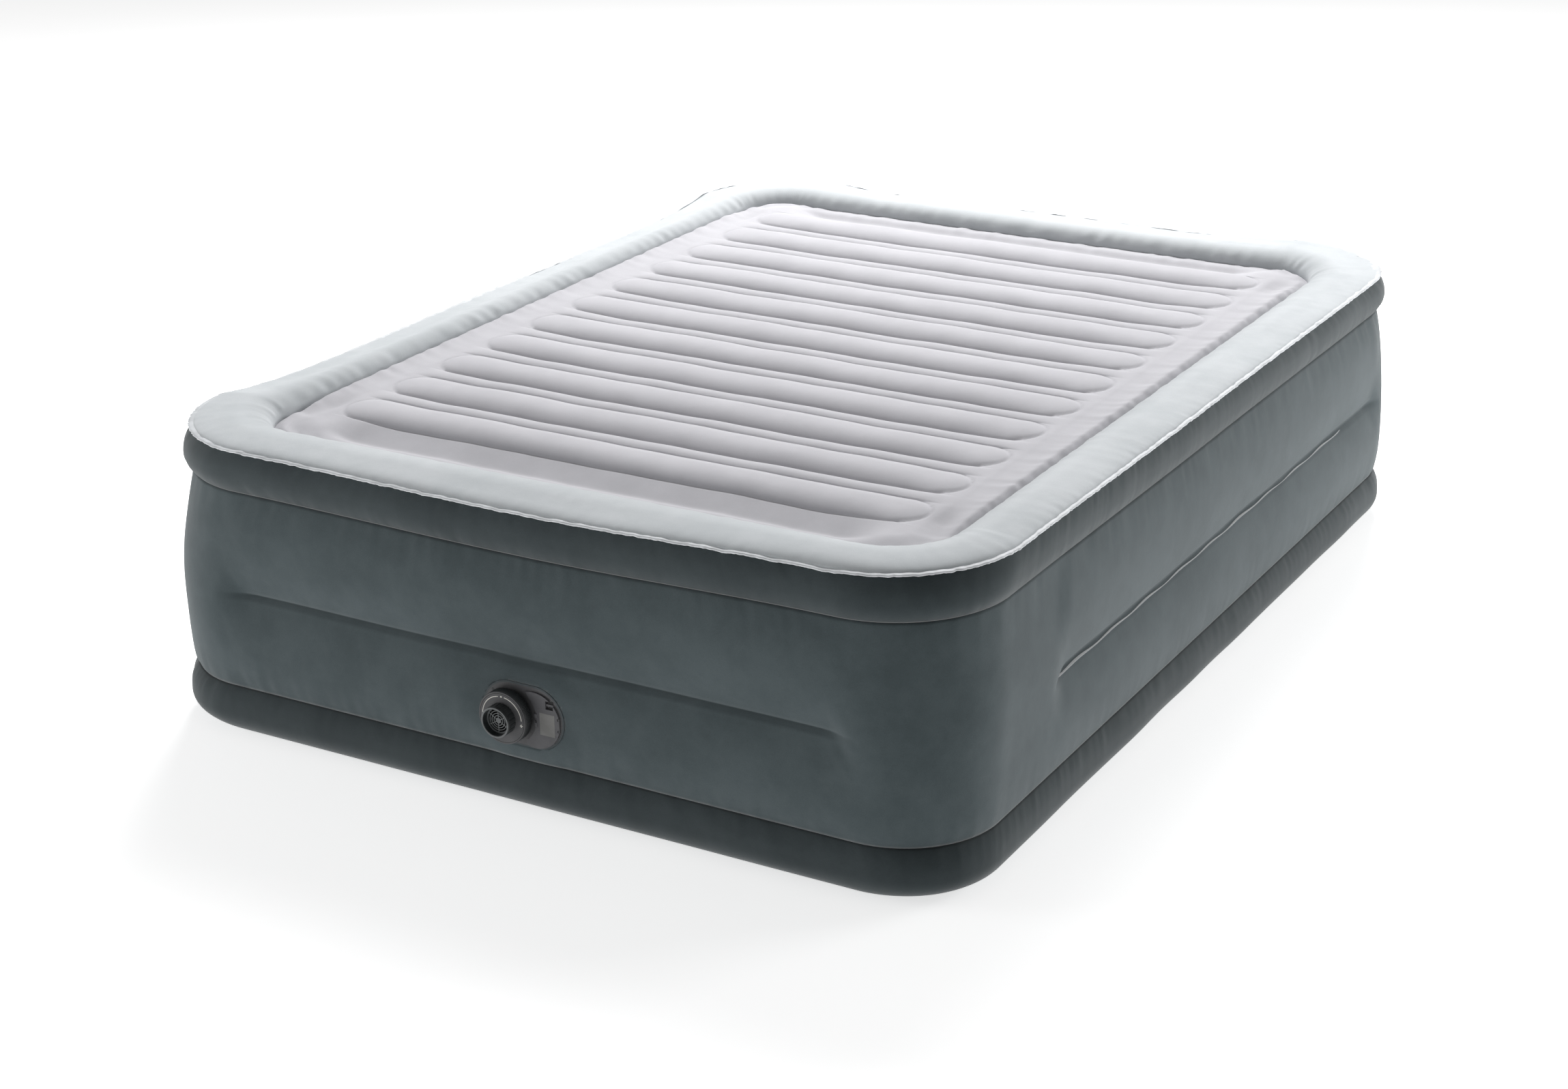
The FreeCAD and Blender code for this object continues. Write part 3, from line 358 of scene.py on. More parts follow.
def outlineColumns(straight, corner, frontExtra=1):
    # walks the rounded rectangle anticlockwise: side signs and turning angle for each column
    signX, signY, angle = [], [], []
    corners = [(1, -1), (1, 1), (-1, 1), (-1, -1)]
    for side in range(4):
        a, b = corners[side], corners[(side + 1) % 4]
        count = straight[side % 2] * (frontExtra if side == 3 else 1)
        t = np.arange(count) / count
        signX.append(a[0] + (b[0] - a[0]) * t)
        signY.append(a[1] + (b[1] - a[1]) * t)
        angle.append(np.full(count, side * np.pi / 2))
        t = np.arange(corner) / corner
        signX.append(np.full(corner, b[0]))
        signY.append(np.full(corner, b[1]))
        angle.append(side * np.pi / 2 + t * np.pi / 2)
    return np.concatenate(signX), np.concatenate(signY), np.concatenate(angle)


def onOutline(columns, out, radius, endPull=0.0):
    # x and y of every column for a line that stands out from the rim line; radius is the corner's
    signX, signY, angle = columns
    x = signX * (halfX + out - radius) + radius * np.cos(angle)
    y = signY * (halfY + out - endPull - radius) + radius * np.sin(angle)
    return x, y


def sagAt(columns, cfg=outlineSetup):
    # how far the rim lies below its nominal height: shallow squared-cosine dips at the pump end and
    # the +X side, longer flat-bottomed dips on the other two, and a slight fall to the back and left
    signX, signY, angle = columns
    onEnd = np.abs(signY) > 0.999
    onSide = np.isclose(np.sin(angle), 0, atol=1e-6) & (np.abs(signX) > 0.999) & ~onEnd
    sideDip = np.where(signX > 0, cfg["sideSag"] * np.cos(signY * np.pi / 2) ** 2,
                       cfg["farSideSag"] * (1 - np.abs(signY) ** 6))
    endDip = np.where(signY < 0, cfg["endSag"] * np.cos(signX * np.pi / 2) ** 2,
                      cfg["farEndSag"] * (1 - np.abs(signX) ** 6))
    fall = cfg["backDrop"] * smoothStep(signY, 0, 1) + cfg["leftDrop"] * smoothStep(-signX, 0, 1)
    return -fall - np.where(onSide, sideDip, 0) - np.where(onEnd, endDip, 0)


def lengthAlong(columns):
    x, y = onOutline(columns, 0.0, outlineSetup["rimCorner"])
    step = np.hypot(np.diff(x, append=x[0]), np.diff(y, append=y[0]))
    return np.concatenate([[0], np.cumsum(step)[:-1]])


def ringSkin(name, out, height, radius, columns, material, thickness=skinThick, endPull=0.0, sag=1.0,
             nap=None):
    # rows x columns of outward distance and height, wrapped round the outline
    x, y = onOutline(columns, out, radius, endPull)
    points = np.stack([x, y, height + sag * sagAt(columns)[None, :] + 0 * x], -1)
    rows, cols = x.shape
    if nap is not None:
        nap = nap + 0 * x
    return addMesh(name, points, gridFaces(rows, cols, closeCols=True), material, thickness, nap=nap)


wallSetup = {
    "rows": 64, "straight": (150, 100), "corner": 30,
    "lowPinch": 0.001, "highPinch": 0.006, "creasePinch": 0.006,
    "lowLobe": 0.0135, "highLobe": 0.015, "freeLobe": 0.0125, "fullness": 2.2, "freeFullness": 2.6,
    "frontReach": 0.585, "sideReachNear": 0.665, "sideReachFar": 0.86,
    "creaseFade": 0.06, "curl": 0.014, "curlReach": 0.07, "frontRise": 0.014, "sideRise": 0.005,
    "weldDepth": 0.005, "weldHalf": 0.004,
    "beadHeight": 0.0012, "beadAt": 0.0055, "beadHalf": 0.002,       # raised lip beside the crease
    "puckers": 0.0011, "puckerReach": 0.03, "puckerStart": 0.006, "puckerWaves": (0.09, 0.022),
    "waves": 0.0014, "waveLengths": (0.5, 0.16), "sagFrom": 0.55,
    "gathers": 0.0016, "gatherSlant": 0.6, "gatherReach": 0.06, "gatherWaves": (0.06, 0.03),
    "flatFrom": 0.002, "flatTo": 0.045, "seat": 0.0012,              # level ground round the pump
    "flangeAt": 0.009, "flangeHalf": 0.0016, "flangeHeight": 0.0006,
    # painted light and shade: a level at the wall's foot falling towards the top, lighter low on each lobe,
    # darker in the crease
    "napFoot": 1.07, "napFall": 0.10, "napLobe": 0.16, "napLobeFoot": 0.03, "napCrease": 0.22,
}
# painted shade beside the weld seams: how dark it gets and how far from the seam it reaches
paintedSeamShade = {"depth": 0.15, "reach": 0.004}


def lobe(t, fullness):
    return 1 - np.abs(2 * t - 1) ** fullness


# painted shade darkening the colour close to a seam
def seamShade(fromSeam):
    return paintedSeamShade["depth"] * np.exp(-fromSeam / paintedSeamShade["reach"])


def puckersAt(along, seed, fromSeam, cfg):
    # small pleats that start just off a weld and die away from it
    fading = np.exp(-fromSeam / cfg["puckerReach"]) * (1 - np.exp(-fromSeam / cfg["puckerStart"]))
    return cfg["puckers"] * (ripples(along, seed, cfg["puckerWaves"]) * fading)


def asSkin(piece, node):
    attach(piece, "mattress")
    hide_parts(node)


def creaseLine(x, y, cfg):
    # height of the crease and how strongly it holds the wall, for each column
    near, far, fade = cfg["sideReachNear"], cfg["sideReachFar"], cfg["creaseFade"]
    onSide = np.abs(x) > halfX - sideBand
    onEnd = np.abs(y) > halfY - sideBand
    sideHold = smoothStep(y, -near, -near + fade) * (1 - smoothStep(y, far - fade, far))
    endHold = 1 - smoothStep(np.abs(x), cfg["frontReach"] - fade, cfg["frontReach"])
    hold = np.where(onSide, sideHold, np.where(onEnd, endHold, 0.0))
    curl = cfg["curl"] * (1 - smoothStep(y, -near, -near + cfg["curlReach"]))
    height = np.where(onSide, creaseZ + cfg["sideRise"] - curl, creaseZ + cfg["frontRise"])
    return height, hold


def pumpShape(x, z):
    # signed distance to the pump collar's outline in the end wall, negative inside
    spread = (pumpHigh[0] - pumpLow[0]) - (pumpHigh[2] - pumpLow[2])
    radius = (pumpHigh[2] - pumpLow[2]) / 2
    left = pumpLow[0] + radius
    middleZ = (pumpLow[2] + pumpHigh[2]) / 2
    nearX = np.clip(x, left, left + spread)
    awayX, awayZ = x - nearX, z - middleZ
    reach = np.hypot(awayX, awayZ)
    return reach - radius, nearX, middleZ, awayX, awayZ, reach, radius


def wallProfile(t, crease, hold, height, cfg):
    # outward distance: two lobes tied at the crease, or one lobe where the crease lets go
    below = height < crease
    s = np.where(below, (height - lowSeamZ) / (crease - lowSeamZ),
                 (height - crease) / (highSeamZ - crease))
    low, mid, high = cfg["lowPinch"], cfg["creasePinch"], cfg["highPinch"]
    chord = np.where(below, -low + (low - mid) * s, -mid + (mid - high) * s)
    tied = chord + np.where(below, cfg["lowLobe"], cfg["highLobe"]) * lobe(s, cfg["fullness"])
    away = height - crease
    tied = tied - cfg["weldDepth"] * np.exp(-(away / cfg["weldHalf"]) ** 2)
    tied = tied + cfg["beadHeight"] * np.exp(-((np.abs(away) - cfg["beadAt"]) / cfg["beadHalf"]) ** 2)
    free = -low + (low - high) * t + cfg["freeLobe"] * lobe(t ** 0.8, cfg["freeFullness"])
    return free + (tied - free) * hold[None, :], s, away


def buildMainWall(mats, cfg=wallSetup):
    columns = outlineColumns(cfg["straight"], cfg["corner"], 2)
    t = np.linspace(0, 1, cfg["rows"])[:, None]
    x0, y0 = onOutline(columns, 0.0, outlineSetup["highCorner"])
    crease, hold = creaseLine(x0, y0, cfg)
    height = lowSeamZ + (highSeamZ - lowSeamZ) * t + 0 * x0[None, :]
    out, s, away = wallProfile(t, crease, hold, height, cfg)
    along = lengthAlong(columns)[None, :]
    fromSeam = np.minimum(height - lowSeamZ, highSeamZ - height)
    points = np.stack([x0 + 0 * height, y0 + 0 * height, height], -1)
    out = out + puckersAt(along, 11, fromSeam, cfg) \
        + cfg["waves"] * swell(points, 12, cfg["waveLengths"]) * lobe(t, 2.0)
    # beside the crease's ends the skin gathers in short slanting folds
    slant = ripples(along + cfg["gatherSlant"] * away, 13, cfg["gatherWaves"])
    out = out + cfg["gathers"] * slant * hold * (1 - hold) * 4 * np.exp(-(away / cfg["gatherReach"]) ** 2)
    radius = outlineSetup["lowCorner"] + (outlineSetup["highCorner"] - outlineSetup["lowCorner"]) * t
    x, y = onOutline(columns, out, radius)
    front = y < -halfY + 2 * sideBand
    height = height + sagAt(columns)[None, :] * smoothStep(t, cfg["sagFrom"], 1.0)
    far, nearX, middleZ, awayX, awayZ, reach, collar = pumpShape(x, height)
    flat = (1 - smoothStep(far, cfg["flatFrom"], cfg["flatTo"])) * front
    y = y * (1 - flat) + (pumpLow[1] + cfg["seat"]) * flat
    flange = np.exp(-((far - cfg["flangeAt"]) / cfg["flangeHalf"]) ** 2)
    y = np.where(front, y + cfg["flangeHeight"] * flange, y)
    # the opening: faces inside the collar go, and the ring of points round it moves onto its edge
    rows, cols = x.shape
    quads = gridFaces(rows, cols, closeCols=True)
    inside = ((far < 0.0) & front).ravel()
    keep = ~inside[quads].all(axis=1)
    edge = inside & np.isin(np.arange(rows * cols), quads[keep])
    scale = (collar / np.maximum(reach, 1e-6)).ravel()
    flatX, flatZ = x.ravel().copy(), height.ravel().copy()
    flatX[edge] = (nearX.ravel() + awayX.ravel() * scale)[edge]
    flatZ[edge] = (middleZ + awayZ.ravel() * scale)[edge]
    points = np.stack([flatX, y.ravel(), flatZ], -1)
    used = np.zeros(rows * cols, bool)
    used[quads[keep]] = True
    renumber = np.cumsum(used) - 1
    # painted light and shade: the colour is made lighter low on each lobe and darker in the crease and by the
    # seams
    fall = cfg["napFall"] * t
    nap = cfg["napFoot"] - fall + (cfg["napLobeFoot"] - cfg["napLobe"] * s + fall) * hold[None, :]
    nap = nap - cfg["napCrease"] * np.exp(-(away / cfg["weldHalf"]) ** 2) * hold[None, :] - seamShade(fromSeam)
    piece = addMesh("mainWall", points[used], renumber[quads[keep]], mats["wallFlock"], skinThick,
                    nap=nap.ravel()[used])
    asSkin(piece, "main_wall")


bandSetup = {
    "rows": 26, "straight": (240, 170), "corner": 40, "bulge": 0.0065, "topPinch": 0.004, "fullness": 2.4,
    "puckers": 0.0008, "puckerReach": 0.016, "puckerStart": 0.004, "puckerWaves": (0.06, 0.016),
    # the last value is painted shade that darkens the whole band under the rim's overhang
    "waves": 0.0007, "waveLengths": (0.4, 0.12), "nap": 0.64,
}


def buildUpperBand(mats, cfg=bandSetup):
    columns = outlineColumns(cfg["straight"], cfg["corner"])
    t = np.linspace(0, 1, cfg["rows"])[:, None]
    lowPinch = wallSetup["highPinch"]
    out = -lowPinch + (lowPinch - cfg["topPinch"]) * t + (cfg["bulge"] + lowPinch) * lobe(t, cfg["fullness"])
    height = highSeamZ + (rimLow[2] - highSeamZ) * t
    along = lengthAlong(columns)[None, :]
    fromSeam = np.minimum(height - highSeamZ, rimLow[2] - height)
    out = out + puckersAt(along, 21, fromSeam, cfg) \
        + cfg["waves"] * ripples(along, 22, cfg["waveLengths"]) * lobe(t, 2)
    radius = outlineSetup["highCorner"] + (outlineSetup["rimCorner"] - outlineSetup["highCorner"]) \
        * (0.35 * t + 0.65 * t * t)
    # painted shade: the whole band darkened, and darker still by both seams
    piece = ringSkin("upperBand", out, height, radius, columns, mats["wallFlock"],
                     nap=cfg["nap"] - seamShade(fromSeam))
    asSkin(piece, "upper_band")


lowerSetup = {
    "rollRows": 16, "sideRows": 16, "straight": (240, 170), "corner": 40,
    "inset": 0.045, "bulge": 0.011, "middle": 0.046, "rollPower": 0.9, "sidePower": 2.8,
    "puckers": 0.0010, "puckerReach": 0.02, "puckerStart": 0.005, "puckerWaves": (0.08, 0.02),
    # the last value is painted shade that darkens the whole lower band
    "waves": 0.0012, "waveLengths": (0.5, 0.15), "waveFrom": (0.004, 0.03), "nap": 0.60,
}


def buildLowerBand(mats, cfg=lowerSetup):
    # a quarter roll up from the floor, then the side up to the lower seam
    columns = outlineColumns(cfg["straight"], cfg["corner"])
    turn = np.linspace(-np.pi / 2, 0, cfg["rollRows"])
    rollOut = -cfg["inset"] + (cfg["inset"] + cfg["bulge"]) * np.cos(turn) ** cfg["rollPower"]
    rollUp = cfg["middle"] + cfg["middle"] * np.sin(turn)
    q = np.linspace(0, 1, cfg["sideRows"])[1:]
    sideOut = cfg["bulge"] - (cfg["bulge"] + wallSetup["lowPinch"]) * q ** cfg["sidePower"]
    sideUp = cfg["middle"] + (lowSeamZ - cfg["middle"]) * q
    out = np.concatenate([rollOut, sideOut])[:, None]
    height = np.concatenate([rollUp, sideUp])[:, None]
    along = lengthAlong(columns)[None, :]
    fromSeam = np.abs(lowSeamZ - height)
    offFloor, clear = cfg["waveFrom"]
    out = out + puckersAt(along, 31, fromSeam, cfg) \
        + cfg["waves"] * ripples(along, 32, cfg["waveLengths"]) * smoothStep(height, offFloor, clear) \
        * np.clip(fromSeam / clear, 0, 1)
    radius = outlineSetup["floorCorner"] + (outlineSetup["lowCorner"] - outlineSetup["floorCorner"]) \
        * np.clip(height / lowSeamZ, 0, 1) ** 0.5
    # painted shade: the whole band darkened, and darker still by the lower seam
    piece = ringSkin("lowerBand", out, height, radius, columns, mats["wallFlock"], sag=0.0,
                     nap=cfg["nap"] - seamShade(fromSeam))
    asSkin(piece, "lower_band")


rimSetup = {
    "rows": 10, "straight": (560, 400), "corner": 110, "reach": 0.0055, "back": 0.008,
    "thick": 0.0042, "edgePower": 0.6, "fray": 0.0006, "frayWaves": (0.03, 0.006),
    "lift": 0.0005, "liftWaves": (0.12, 0.02),
}


def buildRim(mats, cfg=rimSetup):
    # the weld flange: a flat lip with a rounded, slightly uneven edge
    columns = outlineColumns(cfg["straight"], cfg["corner"])
    turn = np.linspace(-np.pi / 2, np.pi / 2, cfg["rows"])[:, None]
    along = lengthAlong(columns)[None, :]
    tip = cfg["reach"] * np.cos(turn) ** cfg["edgePower"]
    lip = np.concatenate([[[-cfg["back"]]], tip, [[-cfg["back"]]]])
    level = np.concatenate([[[-1.0]], np.sin(turn), [[1.0]]]) * cfg["thick"] / 2
    fray = cfg["fray"] * ripples(along, 41, cfg["frayWaves"], 18) * (lip > 0)
    lift = cfg["lift"] * ripples(along, 42, cfg["liftWaves"])
    piece = ringSkin("rimFlange", lip + fray, rimZ + level + lift, outlineSetup["rimCorner"], columns,
                     mats["weldEdge"], 0)
    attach(piece, "mattress")
    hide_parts("rim_flange")


borderSetup = {
    "outerRows": 20, "innerRows": 30, "straight": (260, 180), "corner": 44,
    "outFoot": 0.001, "crownInset": 0.052, "innerInset": 0.122, "endPull": 0.030, "frontPull": 0.015,
    "footLevel": 0.490, "outFull": 2.2, "inFull": 2.0, "nearCrown": 0.536, "farCrown": 0.527,
    "puckers": 0.0016, "puckerSpan": 0.05, "puckerWaves": (0.11, 0.025),
    "rimPuckers": 0.0006, "rimPuckerReach": 0.012, "rimPuckerStart": 0.004, "rimPuckerWaves": (0.05, 0.014),
    # the last value is painted shade on the tube's inner side
    "waves": 0.0012, "waveLengths": (0.9, 0.25), "napInner": 0.20,
}


def buildBorder(mats, cfg=borderSetup):
    columns = outlineColumns(cfg["straight"], cfg["corner"])
    a = np.linspace(0, np.pi / 2, cfg["outerRows"])[:, None]
    b = np.linspace(np.pi / 2, np.pi, cfg["innerRows"])[1:, None]
    # the crown stands a little higher along the pump end and the +X side
    x0, y0 = onOutline(columns, 0.0, outlineSetup["rimCorner"])
    near = smoothStep(0.6 * x0 / halfX - y0 / halfY, -0.9, 1.2)
    crown = cfg["farCrown"] + (cfg["nearCrown"] - cfg["farCrown"]) * near[None, :]
    foot = rimHigh[2] - 0.001
    inset, inner = cfg["crownInset"], cfg["innerInset"]
    power = 2 / cfg["outFull"]
    outX = -inset + (inset - cfg["outFoot"]) * np.cos(a) ** power
    outZ = foot + (crown - foot) * np.sin(a) ** power
    power = 2 / cfg["inFull"]
    inX = -inset - (inner - inset) * np.abs(np.cos(b)) ** power
    inZ = cfg["footLevel"] + (crown - cfg["footLevel"]) * np.sin(b) ** power
    out = np.concatenate([outX, inX]) + 0 * crown
    height = np.concatenate([outZ, inZ])
    # pleats climb from the inner foot, and finer ones from the rim
    along = lengthAlong(columns)[None, :]
    toFoot = np.clip((out + inner) / cfg["puckerSpan"], 0, 1)
    inside = np.exp(-toFoot * 2.5) * smoothStep(toFoot, 0, 0.15)
    outside = np.exp(-np.abs(out + cfg["outFoot"]) / cfg["rimPuckerReach"]) \
        * (1 - np.exp(-(height - foot) / cfg["rimPuckerStart"])) * (out > -inset)
    height = height + cfg["puckers"] * ripples(along, 51, cfg["puckerWaves"]) * inside \
        + cfg["rimPuckers"] * ripples(along, 52, cfg["rimPuckerWaves"]) * outside \
        + cfg["waves"] * ripples(along, 53, cfg["waveLengths"]) * smoothStep(height, foot, crown)
    reach = cfg["frontPull"] + (cfg["endPull"] - cfg["frontPull"]) * (columns[1][None, :] + 1) / 2
    pull = reach * smoothStep(-out, inset * 0.5, inner)
    sag = 1 - smoothStep(-out, inset * 0.5, inner * 0.95)
    # painted shade: the tube's inner side, turned from the lamps, is darkened towards its foot
    nap = 1 - cfg["napInner"] * smoothStep(-out, inset * 1.25, inner * 0.93)
    piece = ringSkin("borderTube", out, height, outlineSetup["rimCorner"] + out, columns,
                     mats["borderFlock"], endPull=pull, sag=sag, nap=nap)
    asSkin(piece, "border_tube")


topSetup = {
    "rows": 330, "cols": 150, "tuck": 0.004, "ribs": 11, "pitch": 0.14, "ribHalf": 0.050,
    "ribReach": 0.556, "weld": 0.4985, "crown": 0.0155, "ridge": 0.0068, "endRise": 0.005,
    "fullness": 2.4, "round": 0.8, "fadeFrom": 0.40, "ribFade": 0.45, "ridgeFade": 0.5,
    "margin": 0.5045, "edge": 0.4965, "edgeSpan": (0.015, 0.07), "outsideSpan": (0.04, 0.01),
    "lineDepth": 0.0022, "lineHalf": 0.0022, "lineInner": 0.6, "apronFrom": 0.03,
    "troughAt": 0.806, "trough": 0.4865, "stripAt": 0.834, "strip": 0.4935, "foot": 0.4895,
    "earSpan": (0.455, 0.545), "settleSpan": (-0.004, 0.014),
    "dimpleAt": (0.585, 0.70), "dimpleSize": (0.018, 0.045), "dimpleDepth": 0.0055,
    "rollAt": 0.016, "rollHalf": 0.009, "rollHeight": 0.003, "rollSide": 0.2,
    "footPuckers": 0.0014, "footReach": 0.03, "footStart": 0.008, "footWaves": (0.09, 0.02),
    "waves": 0.0008, "waveLengths": (0.30, 0.09), "waveSpan": (0.01, 0.06),
    # painted shade: darker down the slope to the front trough, along the weld lines, by the panel's foot and
    # in the dimples
    "napTrough": 0.12, "napLine": 0.10, "napLineFade": 0.7, "napFoot": 0.16, "napFootReach": 0.012,
    "napDimple": 0.10,
}


def pullAt(y):
    return np.where(y < 0, borderSetup["frontPull"], borderSetup["endPull"])


def panelEdge(x, y):
    # distance inward from the panel's rounded outline
    halfWide = halfX - borderSetup["innerInset"]
    halfLong = halfY - borderSetup["innerInset"] - pullAt(y)
    corner = outlineSetup["rimCorner"] - borderSetup["innerInset"]
    dx = np.abs(x) - (halfWide - corner)
    dy = np.abs(y) - (halfLong - corner)
    rounded = corner - np.hypot(np.maximum(dx, 0), np.maximum(dy, 0))
    return np.where((dx > 0) & (dy > 0), rounded, np.minimum(halfWide - np.abs(x), halfLong - np.abs(y)))


def panelHeight(x, y, cfg=topSetup):
    # height of the ribbed top, built from distances to the weld lines
    ax, ay = np.abs(x), np.abs(y)
    pitch, half, full, rounding = cfg["pitch"], cfg["ribHalf"], cfg["fullness"], cfg["round"]
    last = (cfg["ribs"] - 1) / 2 * pitch
    # distance to the nearest rib's centre line, and to its rounded end
    across = np.where(ay > last, ay - last, np.abs((y + last + pitch / 2) % pitch - pitch / 2))
    endRun = np.maximum(ax - (cfg["ribReach"] - half), 0)
    reach = np.hypot(across, endRun) / half
    fade = smoothStep(ax, cfg["fadeFrom"], cfg["ribReach"])
    weld = cfg["weld"] + cfg["endRise"] * fade
    rib = weld + cfg["crown"] * (1 - cfg["ribFade"] * fade) * (1 - np.clip(reach, 0, 1) ** full) ** rounding
    # the small ridge between two ribs' welds, fading into the margin
    inGap = np.clip(np.abs(across - pitch / 2) / (pitch / 2 - half), 0, 1)
    ridge = weld + cfg["ridge"] * (1 - cfg["ridgeFade"] * fade) * (1 - inGap ** full) ** rounding
    inward = panelEdge(x, y)
    margin = cfg["margin"] - (cfg["margin"] - cfg["edge"]) * (1 - smoothStep(inward, *cfg["edgeSpan"]))
    before, after = cfg["outsideSpan"]
    outside = smoothStep(ax, cfg["ribReach"] - before, cfg["ribReach"] + after)
    keep = 1 - smoothStep(ay, last - cfg["apronFrom"], last + half)
    apron = margin + (np.maximum(margin, weld) - margin) * keep
    between = ridge * (1 - outside) + apron * outside
    z = np.where(reach < 1, rib, between)
    # beyond the last rib a slope falls to the trough and climbs to a narrow strip by the border
    weldAt = last + half
    down = np.clip((ay - weldAt) / (cfg["troughAt"] - weldAt), 0, 1)
    slope = weld + (cfg["trough"] - weld) * (down ** 1.3 * (1.6 - 0.6 * down))
    up = smoothStep(ay, cfg["troughAt"], cfg["stripAt"])
    slope = slope + (cfg["strip"] - cfg["trough"]) * up
    ear = smoothStep(ax, *cfg["earSpan"])
    beyond = slope * (1 - ear) + margin * ear
    z = np.where(ay > weldAt, beyond, np.where((ay > last) & (reach >= 1),
                                               apron * outside + weld * (1 - outside), z))
    fromLine = np.maximum(reach - 1, cfg["lineInner"] * (1 - reach)) * half
    line = np.exp(-(fromLine / cfg["lineHalf"]) ** 2)
    z = z - cfg["lineDepth"] * line * (1 - cfg["ribFade"] * fade)
    # dimples beside the ends of the first and last ribs, and a roll along the long foot
    (dimpleX, dimpleY), (wideX, wideY) = cfg["dimpleAt"], cfg["dimpleSize"]
    dimple = np.exp(-(((ax - dimpleX) / wideX) ** 2 + ((ay - dimpleY) / wideY) ** 2))
    roll = np.exp(-((inward - cfg["rollAt"]) / cfg["rollHalf"]) ** 2) * (ax > halfX - cfg["rollSide"])
    z = z - cfg["dimpleDepth"] * dimple + cfg["rollHeight"] * roll
    settle = 1 - smoothStep(inward, *cfg["settleSpan"])
    # painted shade: the slope down to the front trough, the weld lines, the panel's foot and the dimples are
    # darkened
    troughShade = cfg["napTrough"] * down ** 1.5 * (1 - up) * (1 - ear) * (ay > weldAt)
    byFoot = cfg["napFoot"] * np.exp(-np.maximum(inward, 0) / cfg["napFootReach"])
    nap = 1 - troughShade - cfg["napLine"] * line * (1 - cfg["napLineFade"] * fade) - byFoot \
        - cfg["napDimple"] * dimple
    return z * (1 - settle) + cfg["foot"] * settle, inward, nap


def roundedWidth(y, halfWide, halfLong, corner):
    # half width of a rounded rectangle at each y
    over = np.clip(np.abs(y) - (halfLong - corner), 0, corner)
    return halfWide - (corner - np.sqrt(corner ** 2 - over ** 2))


def buildTopPanel(mats, cfg=topSetup):
    halfWide = halfX - borderSetup["innerInset"] + cfg["tuck"]
    longest = halfY - borderSetup["innerInset"] + cfg["tuck"]
    corner = outlineSetup["rimCorner"] - borderSetup["innerInset"]
    # rows crowd round the weld lines, and columns round the ribs' rounded ends
    ribs = (np.arange(cfg["ribs"]) - (cfg["ribs"] - 1) / 2) * cfg["pitch"]
    welds = np.concatenate([ribs - cfg["ribHalf"], ribs + cfg["ribHalf"]])
    near = np.array([-0.0055, -0.0035, -0.0018, 0, 0.0018, 0.0035, 0.0055])
    even = np.linspace(-longest + borderSetup["frontPull"], longest - borderSetup["endPull"], cfg["rows"])
    y = np.sort(np.concatenate([even, np.add.outer(welds, near).ravel()]))[:, None]
    wide = roundedWidth(y, halfWide, longest - pullAt(y), corner)
    ends = np.arange(0.500, 0.575, 0.0025)
    x = np.sort(np.concatenate([np.linspace(-halfWide, halfWide, cfg["cols"]), ends, -ends]))
    x = x[None, :] * wide / halfWide
    y = y + 0 * x
    z, inward, nap = panelHeight(x, y)
    points = np.stack([x, y, z], -1)
    foot = np.exp(-np.maximum(inward, 0) / cfg["footReach"]) * smoothStep(inward, 0.0, cfg["footStart"])
    along = np.where(np.abs(x) / halfWide > np.abs(y) / (longest - pullAt(y)), y, x)
    z = z + cfg["footPuckers"] * ripples(along + 0.3 * inward, 61, cfg["footWaves"]) * foot
    z = z + cfg["waves"] * swell(points, 62, cfg["waveLengths"]) * smoothStep(inward, *cfg["waveSpan"])
    points[..., 2] = z
    piece = addMesh("topPanel", points, gridFaces(*x.shape), mats["topFlock"], skinThick, nap=nap)
    asSkin(piece, "top_panel")


bottomSetup = {
    "rows": 300, "cols": 120, "tuck": 0.002, "cornerExtra": 0.03, "level": 0.0005,
    "ridge": 0.004, "ridgeHalf": 0.006, "ridgeX": (0.5, 0.56), "ridgeY": (0.63, 0.66),
}


def buildBottom(mats, cfg=bottomSetup):
    # flat on the floor but for shallow grooves at the tie beams' welds
    inset = lowerSetup["inset"]
    halfWide, halfLong = halfX - inset + cfg["tuck"], halfY - inset + cfg["tuck"]
    corner = outlineSetup["floorCorner"] - inset + cfg["cornerExtra"]
    y = np.linspace(-halfLong, halfLong, cfg["rows"])[:, None]
    x = np.linspace(-1, 1, cfg["cols"])[None, :] * roundedWidth(y, halfWide, halfLong, corner)
    y = y + 0 * x
    pitch = topSetup["pitch"]
    v = np.abs((y % pitch) - pitch / 2)
    ends = (1 - smoothStep(np.abs(x), *cfg["ridgeX"])) * (1 - smoothStep(np.abs(y), *cfg["ridgeY"]))
    z = cfg["level"] + cfg["ridge"] * np.exp(-(v / cfg["ridgeHalf"]) ** 2) * ends
    points = np.stack([x, y, z], -1)[:, ::-1]
    piece = addMesh("bottomSheet", points, gridFaces(*x.shape), mats["baseVinyl"], skinThick)
    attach(piece, "mattress")
    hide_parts("bottom_sheet")
    flat = (2 * halfWide, 2 * halfLong)
    flat[0] * flat[1] - (4 - math.pi) * corner ** 2


waistSetup = {"rows": 120, "cols": 70, "wave": 0.0010}
tieSetup = {"weldRows": 6, "webRows": 14, "cols": 90, "sway": 0.0012, "swayWaves": (0.5, 0.08), "gap": 0.0003}


